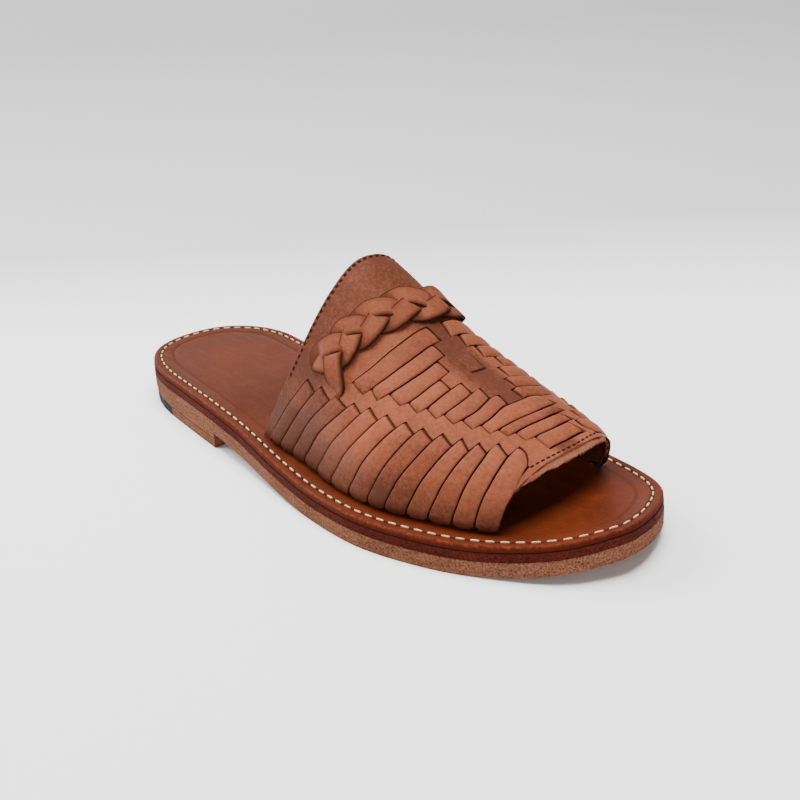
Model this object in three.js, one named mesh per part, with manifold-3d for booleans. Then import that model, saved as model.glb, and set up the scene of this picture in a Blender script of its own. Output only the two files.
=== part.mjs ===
// Huarache slide sandal for the right foot: a woven leather vamp over a stacked leather sole.
// Millimetres. +X runs from heel to toe, +Y to the inner side of the foot and +Z up.
// The floor is z = 0, and the origin lies on it under the middle of the sole.

import * as THREE from 'three';
import Module from 'manifold-3d';

// Driving sizes of the last
const FOOTBED_LENGTH = 256;
const BALL_WIDTH = 94.5;
const HEEL_HEIGHT = 7;
const TOE_SPRING = 6.8;
const INSTEP_HEIGHT = 70;
const FEATHER_INSET = 8;

// Leather thicknesses, from the floor up
const OUTSOLE_THICKNESS = 5.2;
const MIDSOLE_THICKNESS = 3;
const INSOLE_THICKNESS = 2.4;
const WALL_THICKNESS = 2;
const RIM_ROUNDING = 0.8;
const EDGE_ROUNDING = 0.3;
const EDGE_INSET = 0.4;
const GLUE_GAP = 0.3;

// Heel block: its length to the breast, and the wearing tip under it
const BREAST_AT = 80;
const TIP_THICKNESS = 4;
const RUBBER_LENGTH = 32;
const RUBBER_SLANT_DEGREES = 12;

// Woven strips of the vamp: how far they swell, how much higher their middle is than their edges,
// how deep they tuck, and the slit between them
const STRIP_SWELL = 0.9;
const STRIP_CROWN = 0.35;
const STRIP_TUCK = 0.6;
const SLIT_WIDTH = 0.8;

// Braid over the instep
const STRAND_WIDTH = 8.6;
const STRAND_THICKNESS = 2;
const BRAID_SWING = 4.3;
const BRAID_LIFT = 0.8;
const BRAID_PITCH = 39;

// Shape of the sole seen from the side, as shares of the footbed length
const ARCH_START = 0.257;
const BALL_START = 0.634;
const SPRING_START = 0.827;

// How finely the curved forms are cut
const OUTLINE_STEPS = 36;
const HEEL_STEPS = 12;
const SECTION_STEPS = 60;
const LINING_COLUMNS = 12;
const LINING_ROWS = 24;
const SLOT_STEPS = 12;
const BRAID_STEP = 3;
const BRAID_SAMPLES = 60;

// Small steps by which slopes are taken: in the outline's turn, and in shares of the wall
const TURN_NUDGE = 0.01;
const WALL_NUDGE = 0.02;

// Outline of the sole. at: share of the footbed length; inner, outer: shares of the ball width
const OUTLINE = [
  { at: 0, inner: 0, outer: 0 },
  { at: 0.01, inner: 0.141, outer: -0.143 },
  { at: 0.035, inner: 0.235, outer: -0.234 },
  { at: 0.075, inner: 0.306, outer: -0.3 },
  { at: 0.13, inner: 0.341, outer: -0.343 },
  { at: 0.2, inner: 0.33, outer: -0.366 },
  { at: 0.3, inner: 0.299, outer: -0.394 },
  { at: 0.4, inner: 0.281, outer: -0.416 },
  { at: 0.5, inner: 0.33, outer: -0.45 },
  { at: 0.6, inner: 0.426, outer: -0.475 },
  { at: 0.7, inner: 0.507, outer: -0.472 },
  { at: 0.8, inner: 0.522, outer: -0.4 },
  { at: 0.9, inner: 0.472, outer: -0.262 },
  { at: 0.96, inner: 0.368, outer: -0.137 },
  { at: 0.99, inner: 0.224, outer: -0.01 },
  { at: 1, inner: 0.083, outer: 0.083 },
];

// Cross sections of the vamp. at: share of the footbed length; height: share of the instep height;
// ridge: share of the ball width; outerBulge, innerBulge: roundness of each flank, 2 for an ellipse
const VAMP_SECTIONS = [
  { at: 0.39, height: 1.143, ridge: 0.043, outerBulge: 1.7, innerBulge: 2.84 },
  { at: 0.47, height: 1.066, ridge: 0.055, outerBulge: 1.85, innerBulge: 2.9 },
  { at: 0.547, height: 0.944, ridge: 0.066, outerBulge: 2.04, innerBulge: 2.94 },
  { at: 0.625, height: 0.737, ridge: 0.074, outerBulge: 2.37, innerBulge: 2.87 },
  { at: 0.703, height: 0.564, ridge: 0.083, outerBulge: 2.73, innerBulge: 2.82 },
  { at: 0.781, height: 0.444, ridge: 0.093, outerBulge: 3.06, innerBulge: 2.89 },
  { at: 0.859, height: 0.316, ridge: 0.105, outerBulge: 3.38, innerBulge: 3.01 },
  { at: 0.938, height: 0.161, ridge: 0.108, outerBulge: 3.54, innerBulge: 3.07 },
];

// Feather line, where the vamp meets the footbed. at: share of the footbed length; outer, inner:
// how far it lies inside the sole's outline, as shares of the feather inset
const FEATHER_LINE = [
  { at: 0.39, outer: 0.75, inner: 0.88 },
  { at: 0.47, outer: 0.81, inner: 0.9 },
  { at: 0.547, outer: 1.06, inner: 1 },
  { at: 0.625, outer: 0.94, inner: 1 },
  { at: 0.703, outer: 0.9, inner: 1 },
  { at: 0.781, outer: 1, inner: 1 },
  { at: 0.859, outer: 1, inner: 1 },
  { at: 0.938, outer: 1, inner: 1 },
];

// Where the vamp starts and ends. round: share of the way over the foot, from the outer feather
// line to the inner one; collar, toe: shares of the footbed length
const VAMP_EDGES = [
  { round: 0, collar: 0.434, toe: 0.875 },
  { round: 0.1, collar: 0.473, toe: 0.881 },
  { round: 0.25, collar: 0.512, toe: 0.886 },
  { round: 0.4, collar: 0.525, toe: 0.887 },
  { round: 0.5, collar: 0.523, toe: 0.887 },
  { round: 0.6, collar: 0.528, toe: 0.886 },
  { round: 0.8, collar: 0.508, toe: 0.873 },
  { round: 1, collar: 0.457, toe: 0.851 },
];

// Slits between the strips, from the back one to the front one. Each column is the slit's place, as
// a share of the way from collar edge to toe edge, at one height up the outer side
const SLIT_HEIGHTS = {
  foot: 0.03,
  shin: 0.11,
  calf: 0.19,
  head: 0.26,
  rise: 0.33,
  flank: 0.41,
  spine: 0.5,
};
const SLITS = [
  { foot: 0.048, shin: 0.061, calf: 0.095, head: 0.132, rise: 0.152, flank: 0.156, spine: 0.14 },
  { foot: 0.108, shin: 0.124, calf: 0.163, head: 0.212, rise: 0.235, flank: 0.239, spine: 0.225 },
  { foot: 0.173, shin: 0.191, calf: 0.242, head: 0.289, rise: 0.322, flank: 0.326, spine: 0.322 },
  { foot: 0.241, shin: 0.263, calf: 0.32, head: 0.365, rise: 0.392, flank: 0.396, spine: 0.389 },
  { foot: 0.32, shin: 0.342, calf: 0.388, head: 0.422, rise: 0.45, flank: 0.455, spine: 0.445 },
  { foot: 0.405, shin: 0.423, calf: 0.462, head: 0.49, rise: 0.519, flank: 0.514, spine: 0.503 },
  { foot: 0.499, shin: 0.51, calf: 0.537, head: 0.559, rise: 0.577, flank: 0.568, spine: 0.555 },
  { foot: 0.583, shin: 0.591, calf: 0.609, head: 0.621, rise: 0.635, flank: 0.63, spine: 0.612 },
  { foot: 0.65, shin: 0.659, calf: 0.679, head: 0.686, rise: 0.69, flank: 0.692, spine: 0.668 },
  { foot: 0.723, shin: 0.73, calf: 0.743, head: 0.746, rise: 0.744, flank: 0.743, spine: 0.722 },
  { foot: 0.792, shin: 0.797, calf: 0.802, head: 0.799, rise: 0.793, flank: 0.791, spine: 0.789 },
  { foot: 0.865, shin: 0.865, calf: 0.862, head: 0.852, rise: 0.834, flank: 0.831, spine: 0.827 },
  { foot: 0.93, shin: 0.927, calf: 0.924, head: 0.91, rise: 0.892, flank: 0.878, spine: 0.875 },
  { foot: 0.979, shin: 0.979, calf: 0.979, head: 0.972, rise: 0.959, flank: 0.941, spine: 0.937 },
];

// Where each strip dives under the leather, on the outer side, as shares of the way over the foot.
// head: end of its side run; rise: start of its top run; end: end of its top run at the spine. The
// dips are how much lower the strip's front corner lies. top: none without a top run, split where
// the spine parts it, else whole. The front strip's head is rounded: its dip grows with this power
const FRONT_HEAD_ROUNDING = 3;
const STRIPS = [
  { head: 0.202, headDip: 0.012, rise: 0.262, riseDip: 0, end: 0.54, endDip: 0, top: 'none' },
  { head: 0.214, headDip: 0.01, rise: 0.268, riseDip: 0, end: 0.54, endDip: 0, top: 'none' },
  { head: 0.227, headDip: 0.008, rise: 0.275, riseDip: 0.007, end: 0.536, endDip: -0.007, top: 'split' },
  { head: 0.241, headDip: 0.012, rise: 0.291, riseDip: 0.014, end: 0.512, endDip: -0.005, top: 'split' },
  { head: 0.255, headDip: 0.016, rise: 0.31, riseDip: 0.01, end: 0.485, endDip: -0.002, top: 'split' },
  { head: 0.264, headDip: 0.019, rise: 0.32, riseDip: 0.013, end: 0.444, endDip: 0.004, top: 'split' },
  { head: 0.272, headDip: 0.02, rise: 0.334, riseDip: 0.014, end: 0.482, endDip: 0.007, top: 'split' },
  { head: 0.278, headDip: 0.021, rise: 0.344, riseDip: 0.012, end: 0.509, endDip: 0.009, top: 'split' },
  { head: 0.29, headDip: 0.021, rise: 0.36, riseDip: 0.009, end: 0.533, endDip: 0.006, top: 'split' },
  { head: 0.307, headDip: 0.027, rise: 0.382, riseDip: 0.008, end: 0.54, endDip: 0, top: 'whole' },
  { head: 0.324, headDip: 0.02, rise: 0.407, riseDip: 0, end: 0.54, endDip: 0, top: 'whole' },
  { head: 0.364, headDip: 0.028, rise: 0.44, riseDip: 0, end: 0.54, endDip: 0, top: 'whole' },
  { head: 0.4, headDip: 0.06, rise: 0.479, riseDip: 0.004, end: 0.54, endDip: 0, top: 'whole' },
];

// The weave is mirrored about the spine. On the inner side the back slits lean further back: by how
// much at most, over how many strips it fades, and half the stretch over which it sets in
const SPINE_AT = 0.56;
const INNER_LEAN = 0.035;
const LEAN_STRIPS = 11;
const LEAN_HALF = 0.11;

// Rows of points on a strip's side run and top run, as shares of the run, the half width of the step
// in the wall at each of its ends, as a share of the way over the foot, and how late a run dips
const SIDE_RUN_ROWS = [0.12, 0.35, 0.6, 0.85];
const TOP_RUN_ROWS = [0.12, 0.38, 0.62, 0.88];
const STEP_HALF = 0.0012;
const RUN_FLATNESS = 4;

// Middle line of the braid. round: share of the way over the foot; along: share of the way from
// collar edge to toe edge
const BRAID_LINE = [
  { round: 0.235, along: 0.174 },
  { round: 0.344, along: 0.187 },
  { round: 0.44, along: 0.209 },
  { round: 0.5, along: 0.218 },
  { round: 0.56, along: 0.232 },
  { round: 0.65, along: 0.220 },
  { round: 0.75, along: 0.180 },
  { round: 0.815, along: 0.169 },
];

// Colours and finishes
const STRAP_LEATHER = { color: '#9c5f45', roughness: 0.55, metalness: 0 };
const BRAID_LEATHER = { color: '#a5664b', roughness: 0.55, metalness: 0 };
const FOOTBED_LEATHER = { color: '#8a4a2b', roughness: 0.4, metalness: 0 };
const MIDSOLE_LEATHER = { color: '#6f3a28', roughness: 0.5, metalness: 0 };
const OUTSOLE_LEATHER = { color: '#a97f63', roughness: 0.75, metalness: 0 };
const HEEL_RUBBER = { color: '#232323', roughness: 0.8, metalness: 0 };

const wasm = await Module();
wasm.setup();

// Smooth curve through one column of a table: cubic pieces whose slopes average the chords beside
function smoothColumn(rows, key, column) {
  const xs = rows.map((row) => row[key]);
  const ys = rows.map((row) => row[column]);
  const last = xs.length - 1;
  const chords = xs.slice(1).map((x, i) => (ys[i + 1] - ys[i]) / (x - xs[i]));
  const slopes = xs.map((x, i) => {
    if (i === 0) return chords[0];
    if (i === last) return chords[last - 1];
    const before = x - xs[i - 1];
    const after = xs[i + 1] - x;
    return (chords[i - 1] * after + chords[i] * before) / (before + after);
  });
  return (x) => {
    const at = THREE.MathUtils.clamp(x, xs[0], xs[last]);
    let i = 0;
    while (i < last - 1 && at > xs[i + 1]) i += 1;
    const width = xs[i + 1] - xs[i];
    const t = (at - xs[i]) / width;
    const start = ys[i] * (1 + 2 * t) + slopes[i] * width * t;
    const finish = ys[i + 1] * (3 - 2 * t) + slopes[i + 1] * width * (t - 1);
    return start * (1 - t) ** 2 + finish * t ** 2;
  };
}

// Underside of the outsole: level at the heel, falling through the arch, flat at the ball, then
// rising to the toe
function soleLine(x) {
  const share = x / FOOTBED_LENGTH;
  const fall = THREE.MathUtils.smoothstep(share, ARCH_START, BALL_START);
  const spring = THREE.MathUtils.clamp((share - SPRING_START) / (1 - SPRING_START), 0, 1);
  return HEEL_HEIGHT * (1 - fall) + TOE_SPRING * spring ** 2;
}

const midsoleUnder = (x) => soleLine(x) + OUTSOLE_THICKNESS + GLUE_GAP;
const insoleUnder = (x) => midsoleUnder(x) + MIDSOLE_THICKNESS + GLUE_GAP;
const footbedTop = (x) => insoleUnder(x) + INSOLE_THICKNESS;

// The outline is turned through an angle, so that heel and toe come out round
const turnedOutline = OUTLINE.map((row) => ({ ...row, turn: Math.acos(1 - 2 * row.at) }));
const innerShare = smoothColumn(turnedOutline, 'turn', 'inner');
const outerShare = smoothColumn(turnedOutline, 'turn', 'outer');
const turnAt = (x) => Math.acos(THREE.MathUtils.clamp(1 - (2 * x) / FOOTBED_LENGTH, -1, 1));
const innerEdge = (x) => BALL_WIDTH * innerShare(turnAt(x));
const outerEdge = (x) => BALL_WIDTH * outerShare(turnAt(x));

// Point of the outline at a turn from 0 at the heel tip to pi at the toe tip, and on round the
// outer side
function outlinePoint(turn) {
  const wrapped = (turn + 2 * Math.PI) % (2 * Math.PI);
  const x = (FOOTBED_LENGTH * (1 - Math.cos(wrapped))) / 2;
  const share = wrapped <= Math.PI ? innerShare(wrapped) : outerShare(2 * Math.PI - wrapped);
  return new THREE.Vector2(x, BALL_WIDTH * share);
}

// The same point moved inwards, square to the outline
function insetPoint(turn, inset) {
  const along = outlinePoint(turn + TURN_NUDGE).sub(outlinePoint(turn - TURN_NUDGE)).normalize();
  return outlinePoint(turn).add(new THREE.Vector2(along.y, -along.x).multiplyScalar(inset));
}

// A list of points and triangles that becomes one closed geometry: equal points are joined, and
// triangles that joining leaves without area are dropped
class Skin {
  constructor() {
    this.points = [];
    this.faces = [];
  }

  add(point) {
    this.points.push(point);
    return this.points.length - 1;
  }

  triangle(a, b, c) {
    this.faces.push([a, b, c]);
  }

  quad(a, b, c, d) {
    this.triangle(a, b, c);
    this.triangle(a, c, d);
  }

  geometry() {
    const seen = new Map();
    const positions = [];
    const joined = this.points.map((point) => {
      const key = [point.x, point.y, point.z].map((value) => Math.round(value * 10000)).join(' ');
      if (!seen.has(key)) {
        seen.set(key, positions.length / 3);
        positions.push(point.x, point.y, point.z);
      }
      return seen.get(key);
    });
    const index = [];
    for (const face of this.faces) {
      const [a, b, c] = face.map((corner) => joined[corner]);
      if (a !== b && b !== c && c !== a) index.push(a, b, c);
    }
    const geometry = new THREE.BufferGeometry();
    geometry.setAttribute('position', new THREE.Float32BufferAttribute(positions, 3));
    geometry.setIndex(index);
    return geometry;
  }
}

function solidOf(geometry) {
  return new wasm.Manifold(new wasm.Mesh({
    numProp: 3,
    vertProperties: new Float32Array(geometry.attributes.position.array),
    triVerts: new Uint32Array(geometry.index.array),
  }));
}

function geometryOf(solid) {
  const mesh = solid.getMesh();
  const geometry = new THREE.BufferGeometry();
  geometry.setAttribute('position', new THREE.Float32BufferAttribute(mesh.vertProperties, 3));
  geometry.setIndex(Array.from(mesh.triVerts));
  return geometry;
}

// A layer of the sole. It is a stack of rings, each with its own inset and height, and every ring
// pairs a point of the inner side with one of the outer side, so that its caps bend only along x
function layerGeometry(turns, rings) {
  const skin = new Skin();
  const grid = rings.map(({ inset, heightAt }) => {
    const place = (turn) => {
      const flat = insetPoint(turn, inset);
      return skin.add(new THREE.Vector3(flat.x, flat.y, heightAt(flat.x)));
    };
    return { inner: turns.map((turn) => place(turn)), outer: turns.map((turn) => place(-turn)) };
  });
  const last = turns.length - 1;
  for (let k = 0; k + 1 < grid.length; k += 1) {
    const low = grid[k];
    const high = grid[k + 1];
    for (let j = 0; j < last; j += 1) {
      skin.quad(low.inner[j], high.inner[j], high.inner[j + 1], low.inner[j + 1]);
      skin.quad(low.outer[j + 1], high.outer[j + 1], high.outer[j], low.outer[j]);
    }
    skin.quad(low.inner[last], high.inner[last], high.outer[last], low.outer[last]);
  }
  const floor = grid[0];
  const roof = grid[grid.length - 1];
  for (let j = 0; j < last; j += 1) {
    skin.quad(roof.inner[j], roof.outer[j], roof.outer[j + 1], roof.inner[j + 1]);
    skin.quad(floor.inner[j], floor.inner[j + 1], floor.outer[j + 1], floor.outer[j]);
  }
  return skin.geometry();
}

function evenTurns(lastTurn, steps) {
  return Array.from({ length: steps + 1 }, (unused, j) => (lastTurn * j) / steps);
}

// A whole layer from heel to toe, with its lower and upper corners rounded by one facet
function wholeLayer(underAt, thickness, inset, lowerRounding, upperRounding) {
  const topAt = (x) => underAt(x) + thickness;
  return layerGeometry(evenTurns(Math.PI, OUTLINE_STEPS), [
    { inset: inset + lowerRounding, heightAt: underAt },
    { inset, heightAt: (x) => underAt(x) + lowerRounding },
    { inset, heightAt: (x) => topAt(x) - upperRounding },
    { inset: inset + upperRounding, heightAt: topAt },
  ]);
}

function outsoleGeometry() {
  return wholeLayer(soleLine, OUTSOLE_THICKNESS, 0, EDGE_ROUNDING, EDGE_ROUNDING);
}

function midsoleGeometry() {
  return wholeLayer(midsoleUnder, MIDSOLE_THICKNESS, EDGE_INSET / 2, EDGE_ROUNDING, EDGE_ROUNDING);
}

// A slab of the heel, from the back to the breast
function heelSlab(underAt, topAt) {
  return layerGeometry(evenTurns(turnAt(BREAST_AT), HEEL_STEPS), [
    { inset: EDGE_INSET / 2, heightAt: underAt },
    { inset: EDGE_INSET / 2, heightAt: topAt },
  ]);
}

function heelBlockGeometry() {
  return heelSlab(() => TIP_THICKNESS + GLUE_GAP, (x) => soleLine(x) - GLUE_GAP);
}

// The wearing tip is rubber at the back and leather in front, parted on a slanting line
function heelTipGeometry(isRubber) {
  const tip = solidOf(heelSlab(() => 0, () => TIP_THICKNESS));
  const reach = FOOTBED_LENGTH;
  const knife = new THREE.BoxGeometry(reach, reach, reach);
  const shift = RUBBER_LENGTH + (isRubber ? -1 : 1) * ((reach + GLUE_GAP) / 2);
  knife.translate(shift - RUBBER_LENGTH, 0, 0);
  knife.rotateZ(THREE.MathUtils.degToRad(RUBBER_SLANT_DEGREES));
  knife.translate(RUBBER_LENGTH, 0, 0);
  return geometryOf(tip.intersect(solidOf(weld(knife))));
}

// The same geometry with only its positions, and with equal corners joined
function weld(geometry) {
  const skin = new Skin();
  const positions = geometry.attributes.position;
  for (let i = 0; i < positions.count; i += 1) {
    skin.add(new THREE.Vector3().fromBufferAttribute(positions, i));
  }
  const corners = geometry.index ? geometry.index.array : skin.points.map((point, i) => i);
  for (let i = 0; i < corners.length; i += 3) {
    skin.triangle(corners[i], corners[i + 1], corners[i + 2]);
  }
  return skin.geometry();
}

const sectionColumn = (name) => smoothColumn(VAMP_SECTIONS, 'at', name);
const heightShare = sectionColumn('height');
const ridgeShare = sectionColumn('ridge');
const outerBulge = sectionColumn('outerBulge');
const innerBulge = sectionColumn('innerBulge');
const outerInset = smoothColumn(FEATHER_LINE, 'at', 'outer');
const innerInset = smoothColumn(FEATHER_LINE, 'at', 'inner');
const collarShare = smoothColumn(VAMP_EDGES, 'round', 'collar');
const toeShare = smoothColumn(VAMP_EDGES, 'round', 'toe');

// Length of the vamp from collar edge to toe edge
const vampLength = (round) => FOOTBED_LENGTH * (toeShare(round) - collarShare(round));

// Cross section of the vamp at x: two quarters of a superellipse that meet on the ridge, as points
// from the outer feather line to the inner one, each with its distance along the section
function vampSection(x) {
  const at = x / FOOTBED_LENGTH;
  const ridge = ridgeShare(at) * BALL_WIDTH;
  const outerReach = ridge - (outerEdge(x) + outerInset(at) * FEATHER_INSET);
  const innerReach = innerEdge(x) - innerInset(at) * FEATHER_INSET - ridge;
  const rise = heightShare(at) * INSTEP_HEIGHT;
  const section = [];
  let distance = 0;
  for (let i = 0; i <= SECTION_STEPS; i += 1) {
    const angle = (Math.PI * i) / SECTION_STEPS;
    const onOuter = angle <= Math.PI / 2;
    const power = 2 / (onOuter ? outerBulge(at) : innerBulge(at));
    const sideways = Math.abs(Math.cos(angle)) ** power;
    const y = ridge + (onOuter ? -outerReach : innerReach) * sideways;
    const z = footbedTop(x) + rise * Math.sin(angle) ** power;
    if (i > 0) distance += Math.hypot(y - section[i - 1].y, z - section[i - 1].z);
    section.push({ y, z, distance });
  }
  return section;
}

// Point of the last's skin over the foot. along: 0 at the collar edge to 1 at the toe edge;
// round: 0 at the outer feather line to 1 at the inner one
function vampPoint(along, round) {
  const x = FOOTBED_LENGTH * THREE.MathUtils.lerp(collarShare(round), toeShare(round), along);
  const section = vampSection(x);
  const wanted = THREE.MathUtils.clamp(round, 0, 1) * section[SECTION_STEPS].distance;
  let i = 1;
  while (i < SECTION_STEPS && section[i].distance < wanted) i += 1;
  const before = section[i - 1];
  const after = section[i];
  const share = (wanted - before.distance) / (after.distance - before.distance);
  return new THREE.Vector3(
    x,
    THREE.MathUtils.lerp(before.y, after.y, share),
    THREE.MathUtils.lerp(before.z, after.z, share),
  );
}

// Outward direction of that skin, and its two directions along the surface
function vampFrame(along, round) {
  const low = Math.max(round - WALL_NUDGE, 0);
  const high = Math.min(round + WALL_NUDGE, 1);
  const ahead = vampPoint(along + WALL_NUDGE, round);
  const forward = ahead.sub(vampPoint(along - WALL_NUDGE, round)).normalize();
  const over = vampPoint(along, high).sub(vampPoint(along, low)).normalize();
  const out = new THREE.Vector3().crossVectors(forward, over).normalize();
  return { forward, over, out };
}

// Point of the wall. level 0 is the outer face of the plain leather, strips swell above it, and the
// swollen strips touch the last's skin
function wallPoint(along, round, level) {
  const { out } = vampFrame(along, round);
  return vampPoint(along, round).addScaledVector(out, level - STRIP_SWELL);
}

// The wall's foot: the same point at the feather line, let down through the insole
function footPoint(along, round, level) {
  const point = wallPoint(along, round, level);
  point.z = insoleUnder(point.x);
  return point;
}

const mirrorRound = (round) => 1 - (round * (1 - SPINE_AT)) / SPINE_AT;
const outerRound = (round) => (round <= SPINE_AT ? round : ((1 - round) * SPINE_AT) / (1 - SPINE_AT));

// Place of each slit at any height: the chart's row as a smooth curve, mirrored past the spine
const slitCurves = SLITS.map((slit) => {
  const rows = Object.entries(SLIT_HEIGHTS).map(([name, round]) => ({ round, along: slit[name] }));
  return smoothColumn(rows, 'round', 'along');
});

function slitAlong(slit, round) {
  const lean = INNER_LEAN * Math.max(0, 1 - (slit + 1) / LEAN_STRIPS);
  const crossed = THREE.MathUtils.smoothstep(round, SPINE_AT - LEAN_HALF, SPINE_AT + LEAN_HALF);
  return slitCurves[slit](outerRound(round)) - lean * crossed;
}

// Level of a run's middle and of its dip at both ends, at a share of the way along the run
function runLevel(share, height) {
  return height - (height + STRIP_TUCK) * Math.abs(2 * share - 1) ** RUN_FLATNESS;
}

// Rows up one line of a strip, on the outer side: each has its place round the foot and its level.
// corner is 0 at the strip's back edge, 1 at its front edge and a half along its middle
function outerRows(strip, corner) {
  const rounding = strip === STRIPS[STRIPS.length - 1] ? FRONT_HEAD_ROUNDING : 1;
  const head = strip.head - strip.headDip * corner ** rounding;
  const rise = strip.rise - strip.riseDip * corner;
  const end = strip.end - strip.endDip * corner;
  const height = STRIP_SWELL - STRIP_CROWN * (2 * corner - 1) ** 2;
  const rises = strip.top !== 'none';
  const splits = strip.top === 'split';
  const spineLevel = strip.top === 'whole' ? height : 0;
  const rows = [{ round: 0, level: 0 }];
  for (const share of SIDE_RUN_ROWS) rows.push({ round: head * share, level: runLevel(share, height) });
  rows.push({ round: head - STEP_HALF, level: -STRIP_TUCK });
  rows.push({ round: head + STEP_HALF, level: 0 });
  rows.push({ round: rise - STEP_HALF, level: 0 });
  rows.push({ round: rise + STEP_HALF, level: rises ? -STRIP_TUCK : 0 });
  for (const share of TOP_RUN_ROWS) {
    const level = rises ? runLevel(splits ? share : share / 2, height) : 0;
    rows.push({ round: THREE.MathUtils.lerp(rise, end, share), level });
  }
  rows.push({ round: end - STEP_HALF, level: splits ? -STRIP_TUCK : spineLevel });
  rows.push({ round: end + STEP_HALF, level: spineLevel });
  return { rows, spineLevel };
}

// All rows of an edge: up the outer side, over the spine and down the inner side
function rowsOver(strip, corner) {
  const { rows, spineLevel } = outerRows(strip, corner);
  const inner = rows.map(({ round, level }) => ({ round: mirrorRound(round), level })).reverse();
  return [...rows, { round: SPINE_AT, level: spineLevel }, ...inner];
}

// The same rows in a slit: as deep as the tuck beside swollen strips, level beside plain leather
function slitRows(rows) {
  return rows.map(({ round, level }) => ({ round, level: level > 0 ? -STRIP_TUCK : level }));
}

// Columns of the outer face from the collar edge to the toe edge
function outerColumns() {
  const columns = [];
  const plain = rowsOver(STRIPS[0], 0).map(({ round }) => ({ round, level: 0 }));
  columns.push({ rows: plain, alongAt: () => 0 });
  columns.push({ rows: plain, alongAt: (round) => slitAlong(0, round) / 2 });
  SLITS.forEach((unused, slit) => {
    const halfSlit = (round) => SLIT_WIDTH / 2 / vampLength(round);
    const before = slit > 0 ? rowsOver(STRIPS[slit - 1], 1) : plain;
    const last = slit === SLITS.length - 1;
    const after = last ? before.map(({ round }) => ({ round, level: 0 })) : rowsOver(STRIPS[slit], 0);
    const floorRows = slitRows(last ? before : after);
    columns.push({ rows: before, alongAt: (round) => slitAlong(slit, round) - halfSlit(round) });
    columns.push({ rows: floorRows, alongAt: (round) => slitAlong(slit, round) });
    columns.push({ rows: after, alongAt: (round) => slitAlong(slit, round) + halfSlit(round) });
    if (!last) {
      const middle = (round) => (slitAlong(slit, round) + slitAlong(slit + 1, round)) / 2;
      columns.push({ rows: rowsOver(STRIPS[slit], 0.5), alongAt: middle });
    }
  });
  columns.push({ rows: columns[columns.length - 1].rows, alongAt: () => 1 });
  return columns;
}

// Triangles between two rows of points that run the same way, each with its share of the way
function zip(skin, rowA, rowB) {
  let a = 0;
  let b = 0;
  while (a < rowA.length - 1 || b < rowB.length - 1) {
    const nextA = a < rowA.length - 1 ? rowA[a + 1].share : Infinity;
    const nextB = b < rowB.length - 1 ? rowB[b + 1].share : Infinity;
    if (nextA <= nextB) {
      skin.triangle(rowA[a].id, rowA[a + 1].id, rowB[b].id);
      a += 1;
    } else {
      skin.triangle(rowB[b].id, rowA[a].id, rowB[b + 1].id);
      b += 1;
    }
  }
}

const flip = (row) => row.map(({ id, share }) => ({ id, share: 1 - share })).reverse();

// One wall: the woven outer face, the plain inner face and the cut edges that join them. It is open
// at the collar, at the toe and underneath
function upperGeometry() {
  const skin = new Skin();
  const outer = outerColumns().map(({ rows, alongAt }) => {
    const last = rows.length - 1;
    const standing = rows.map(({ round, level }) => {
      const along = alongAt(round);
      return { id: skin.add(wallPoint(along, round, level)), share: round, along };
    });
    const foot = (row) => skin.add(footPoint(alongAt(row.round), row.round, 0));
    return [
      { id: foot(rows[0]), share: -1, along: alongAt(0) },
      ...standing,
      { id: foot(rows[last]), share: 2, along: alongAt(1) },
    ];
  });
  const inner = Array.from({ length: LINING_COLUMNS + 1 }, (unusedColumn, column) => {
    const along = column / LINING_COLUMNS;
    const standing = Array.from({ length: LINING_ROWS + 1 }, (unusedRow, row) => {
      const round = row / LINING_ROWS;
      return { id: skin.add(wallPoint(along, round, -WALL_THICKNESS)), share: round, along };
    });
    const foot = (round) => skin.add(footPoint(along, round, -WALL_THICKNESS));
    return [{ id: foot(0), share: -1, along }, ...standing, { id: foot(1), share: 2, along }];
  });
  for (let c = 0; c + 1 < outer.length; c += 1) {
    for (let r = 0; r + 1 < outer[c].length; r += 1) {
      skin.quad(outer[c][r].id, outer[c + 1][r].id, outer[c + 1][r + 1].id, outer[c][r + 1].id);
    }
  }
  for (let c = 0; c + 1 < inner.length; c += 1) {
    for (let r = 0; r + 1 < inner[c].length; r += 1) {
      skin.quad(inner[c][r].id, inner[c][r + 1].id, inner[c + 1][r + 1].id, inner[c + 1][r].id);
    }
  }
  const footRow = (columns, row) => columns.map((column) => {
    const point = column[row < 0 ? column.length - 1 : row];
    return { id: point.id, share: point.along };
  });
  zip(skin, outer[0], inner[0]);
  zip(skin, flip(outer[outer.length - 1]), flip(inner[inner.length - 1]));
  zip(skin, flip(footRow(outer, 0)), flip(footRow(inner, 0)));
  zip(skin, footRow(outer, -1), footRow(inner, -1));
  return skin.geometry();
}

// Slot through the insole for one foot of the wall, with the glue gap all round
function footSlot(round) {
  const line = (level) => Array.from({ length: SLOT_STEPS + 1 }, (unused, i) => {
    const point = wallPoint(i / SLOT_STEPS, round, level);
    return new THREE.Vector2(point.x, point.y);
  });
  const outside = line(GLUE_GAP);
  const inside = line(-WALL_THICKNESS - GLUE_GAP);
  for (const side of [outside, inside]) {
    const back = side[0].clone().sub(side[1]).normalize();
    const front = side[SLOT_STEPS].clone().sub(side[SLOT_STEPS - 1]).normalize();
    side[0].addScaledVector(back, GLUE_GAP);
    side[SLOT_STEPS].addScaledVector(front, GLUE_GAP);
  }
  const shape = new THREE.Shape([...outside, ...inside.reverse()]);
  const depth = HEEL_HEIGHT + INSTEP_HEIGHT;
  return weld(new THREE.ExtrudeGeometry(shape, { depth, bevelEnabled: false }));
}

function insoleGeometry() {
  const sheet = wholeLayer(insoleUnder, INSOLE_THICKNESS, EDGE_INSET, EDGE_ROUNDING, RIM_ROUNDING);
  return geometryOf(solidOf(sheet).subtract(solidOf(footSlot(0))).subtract(solidOf(footSlot(1))));
}

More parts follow.
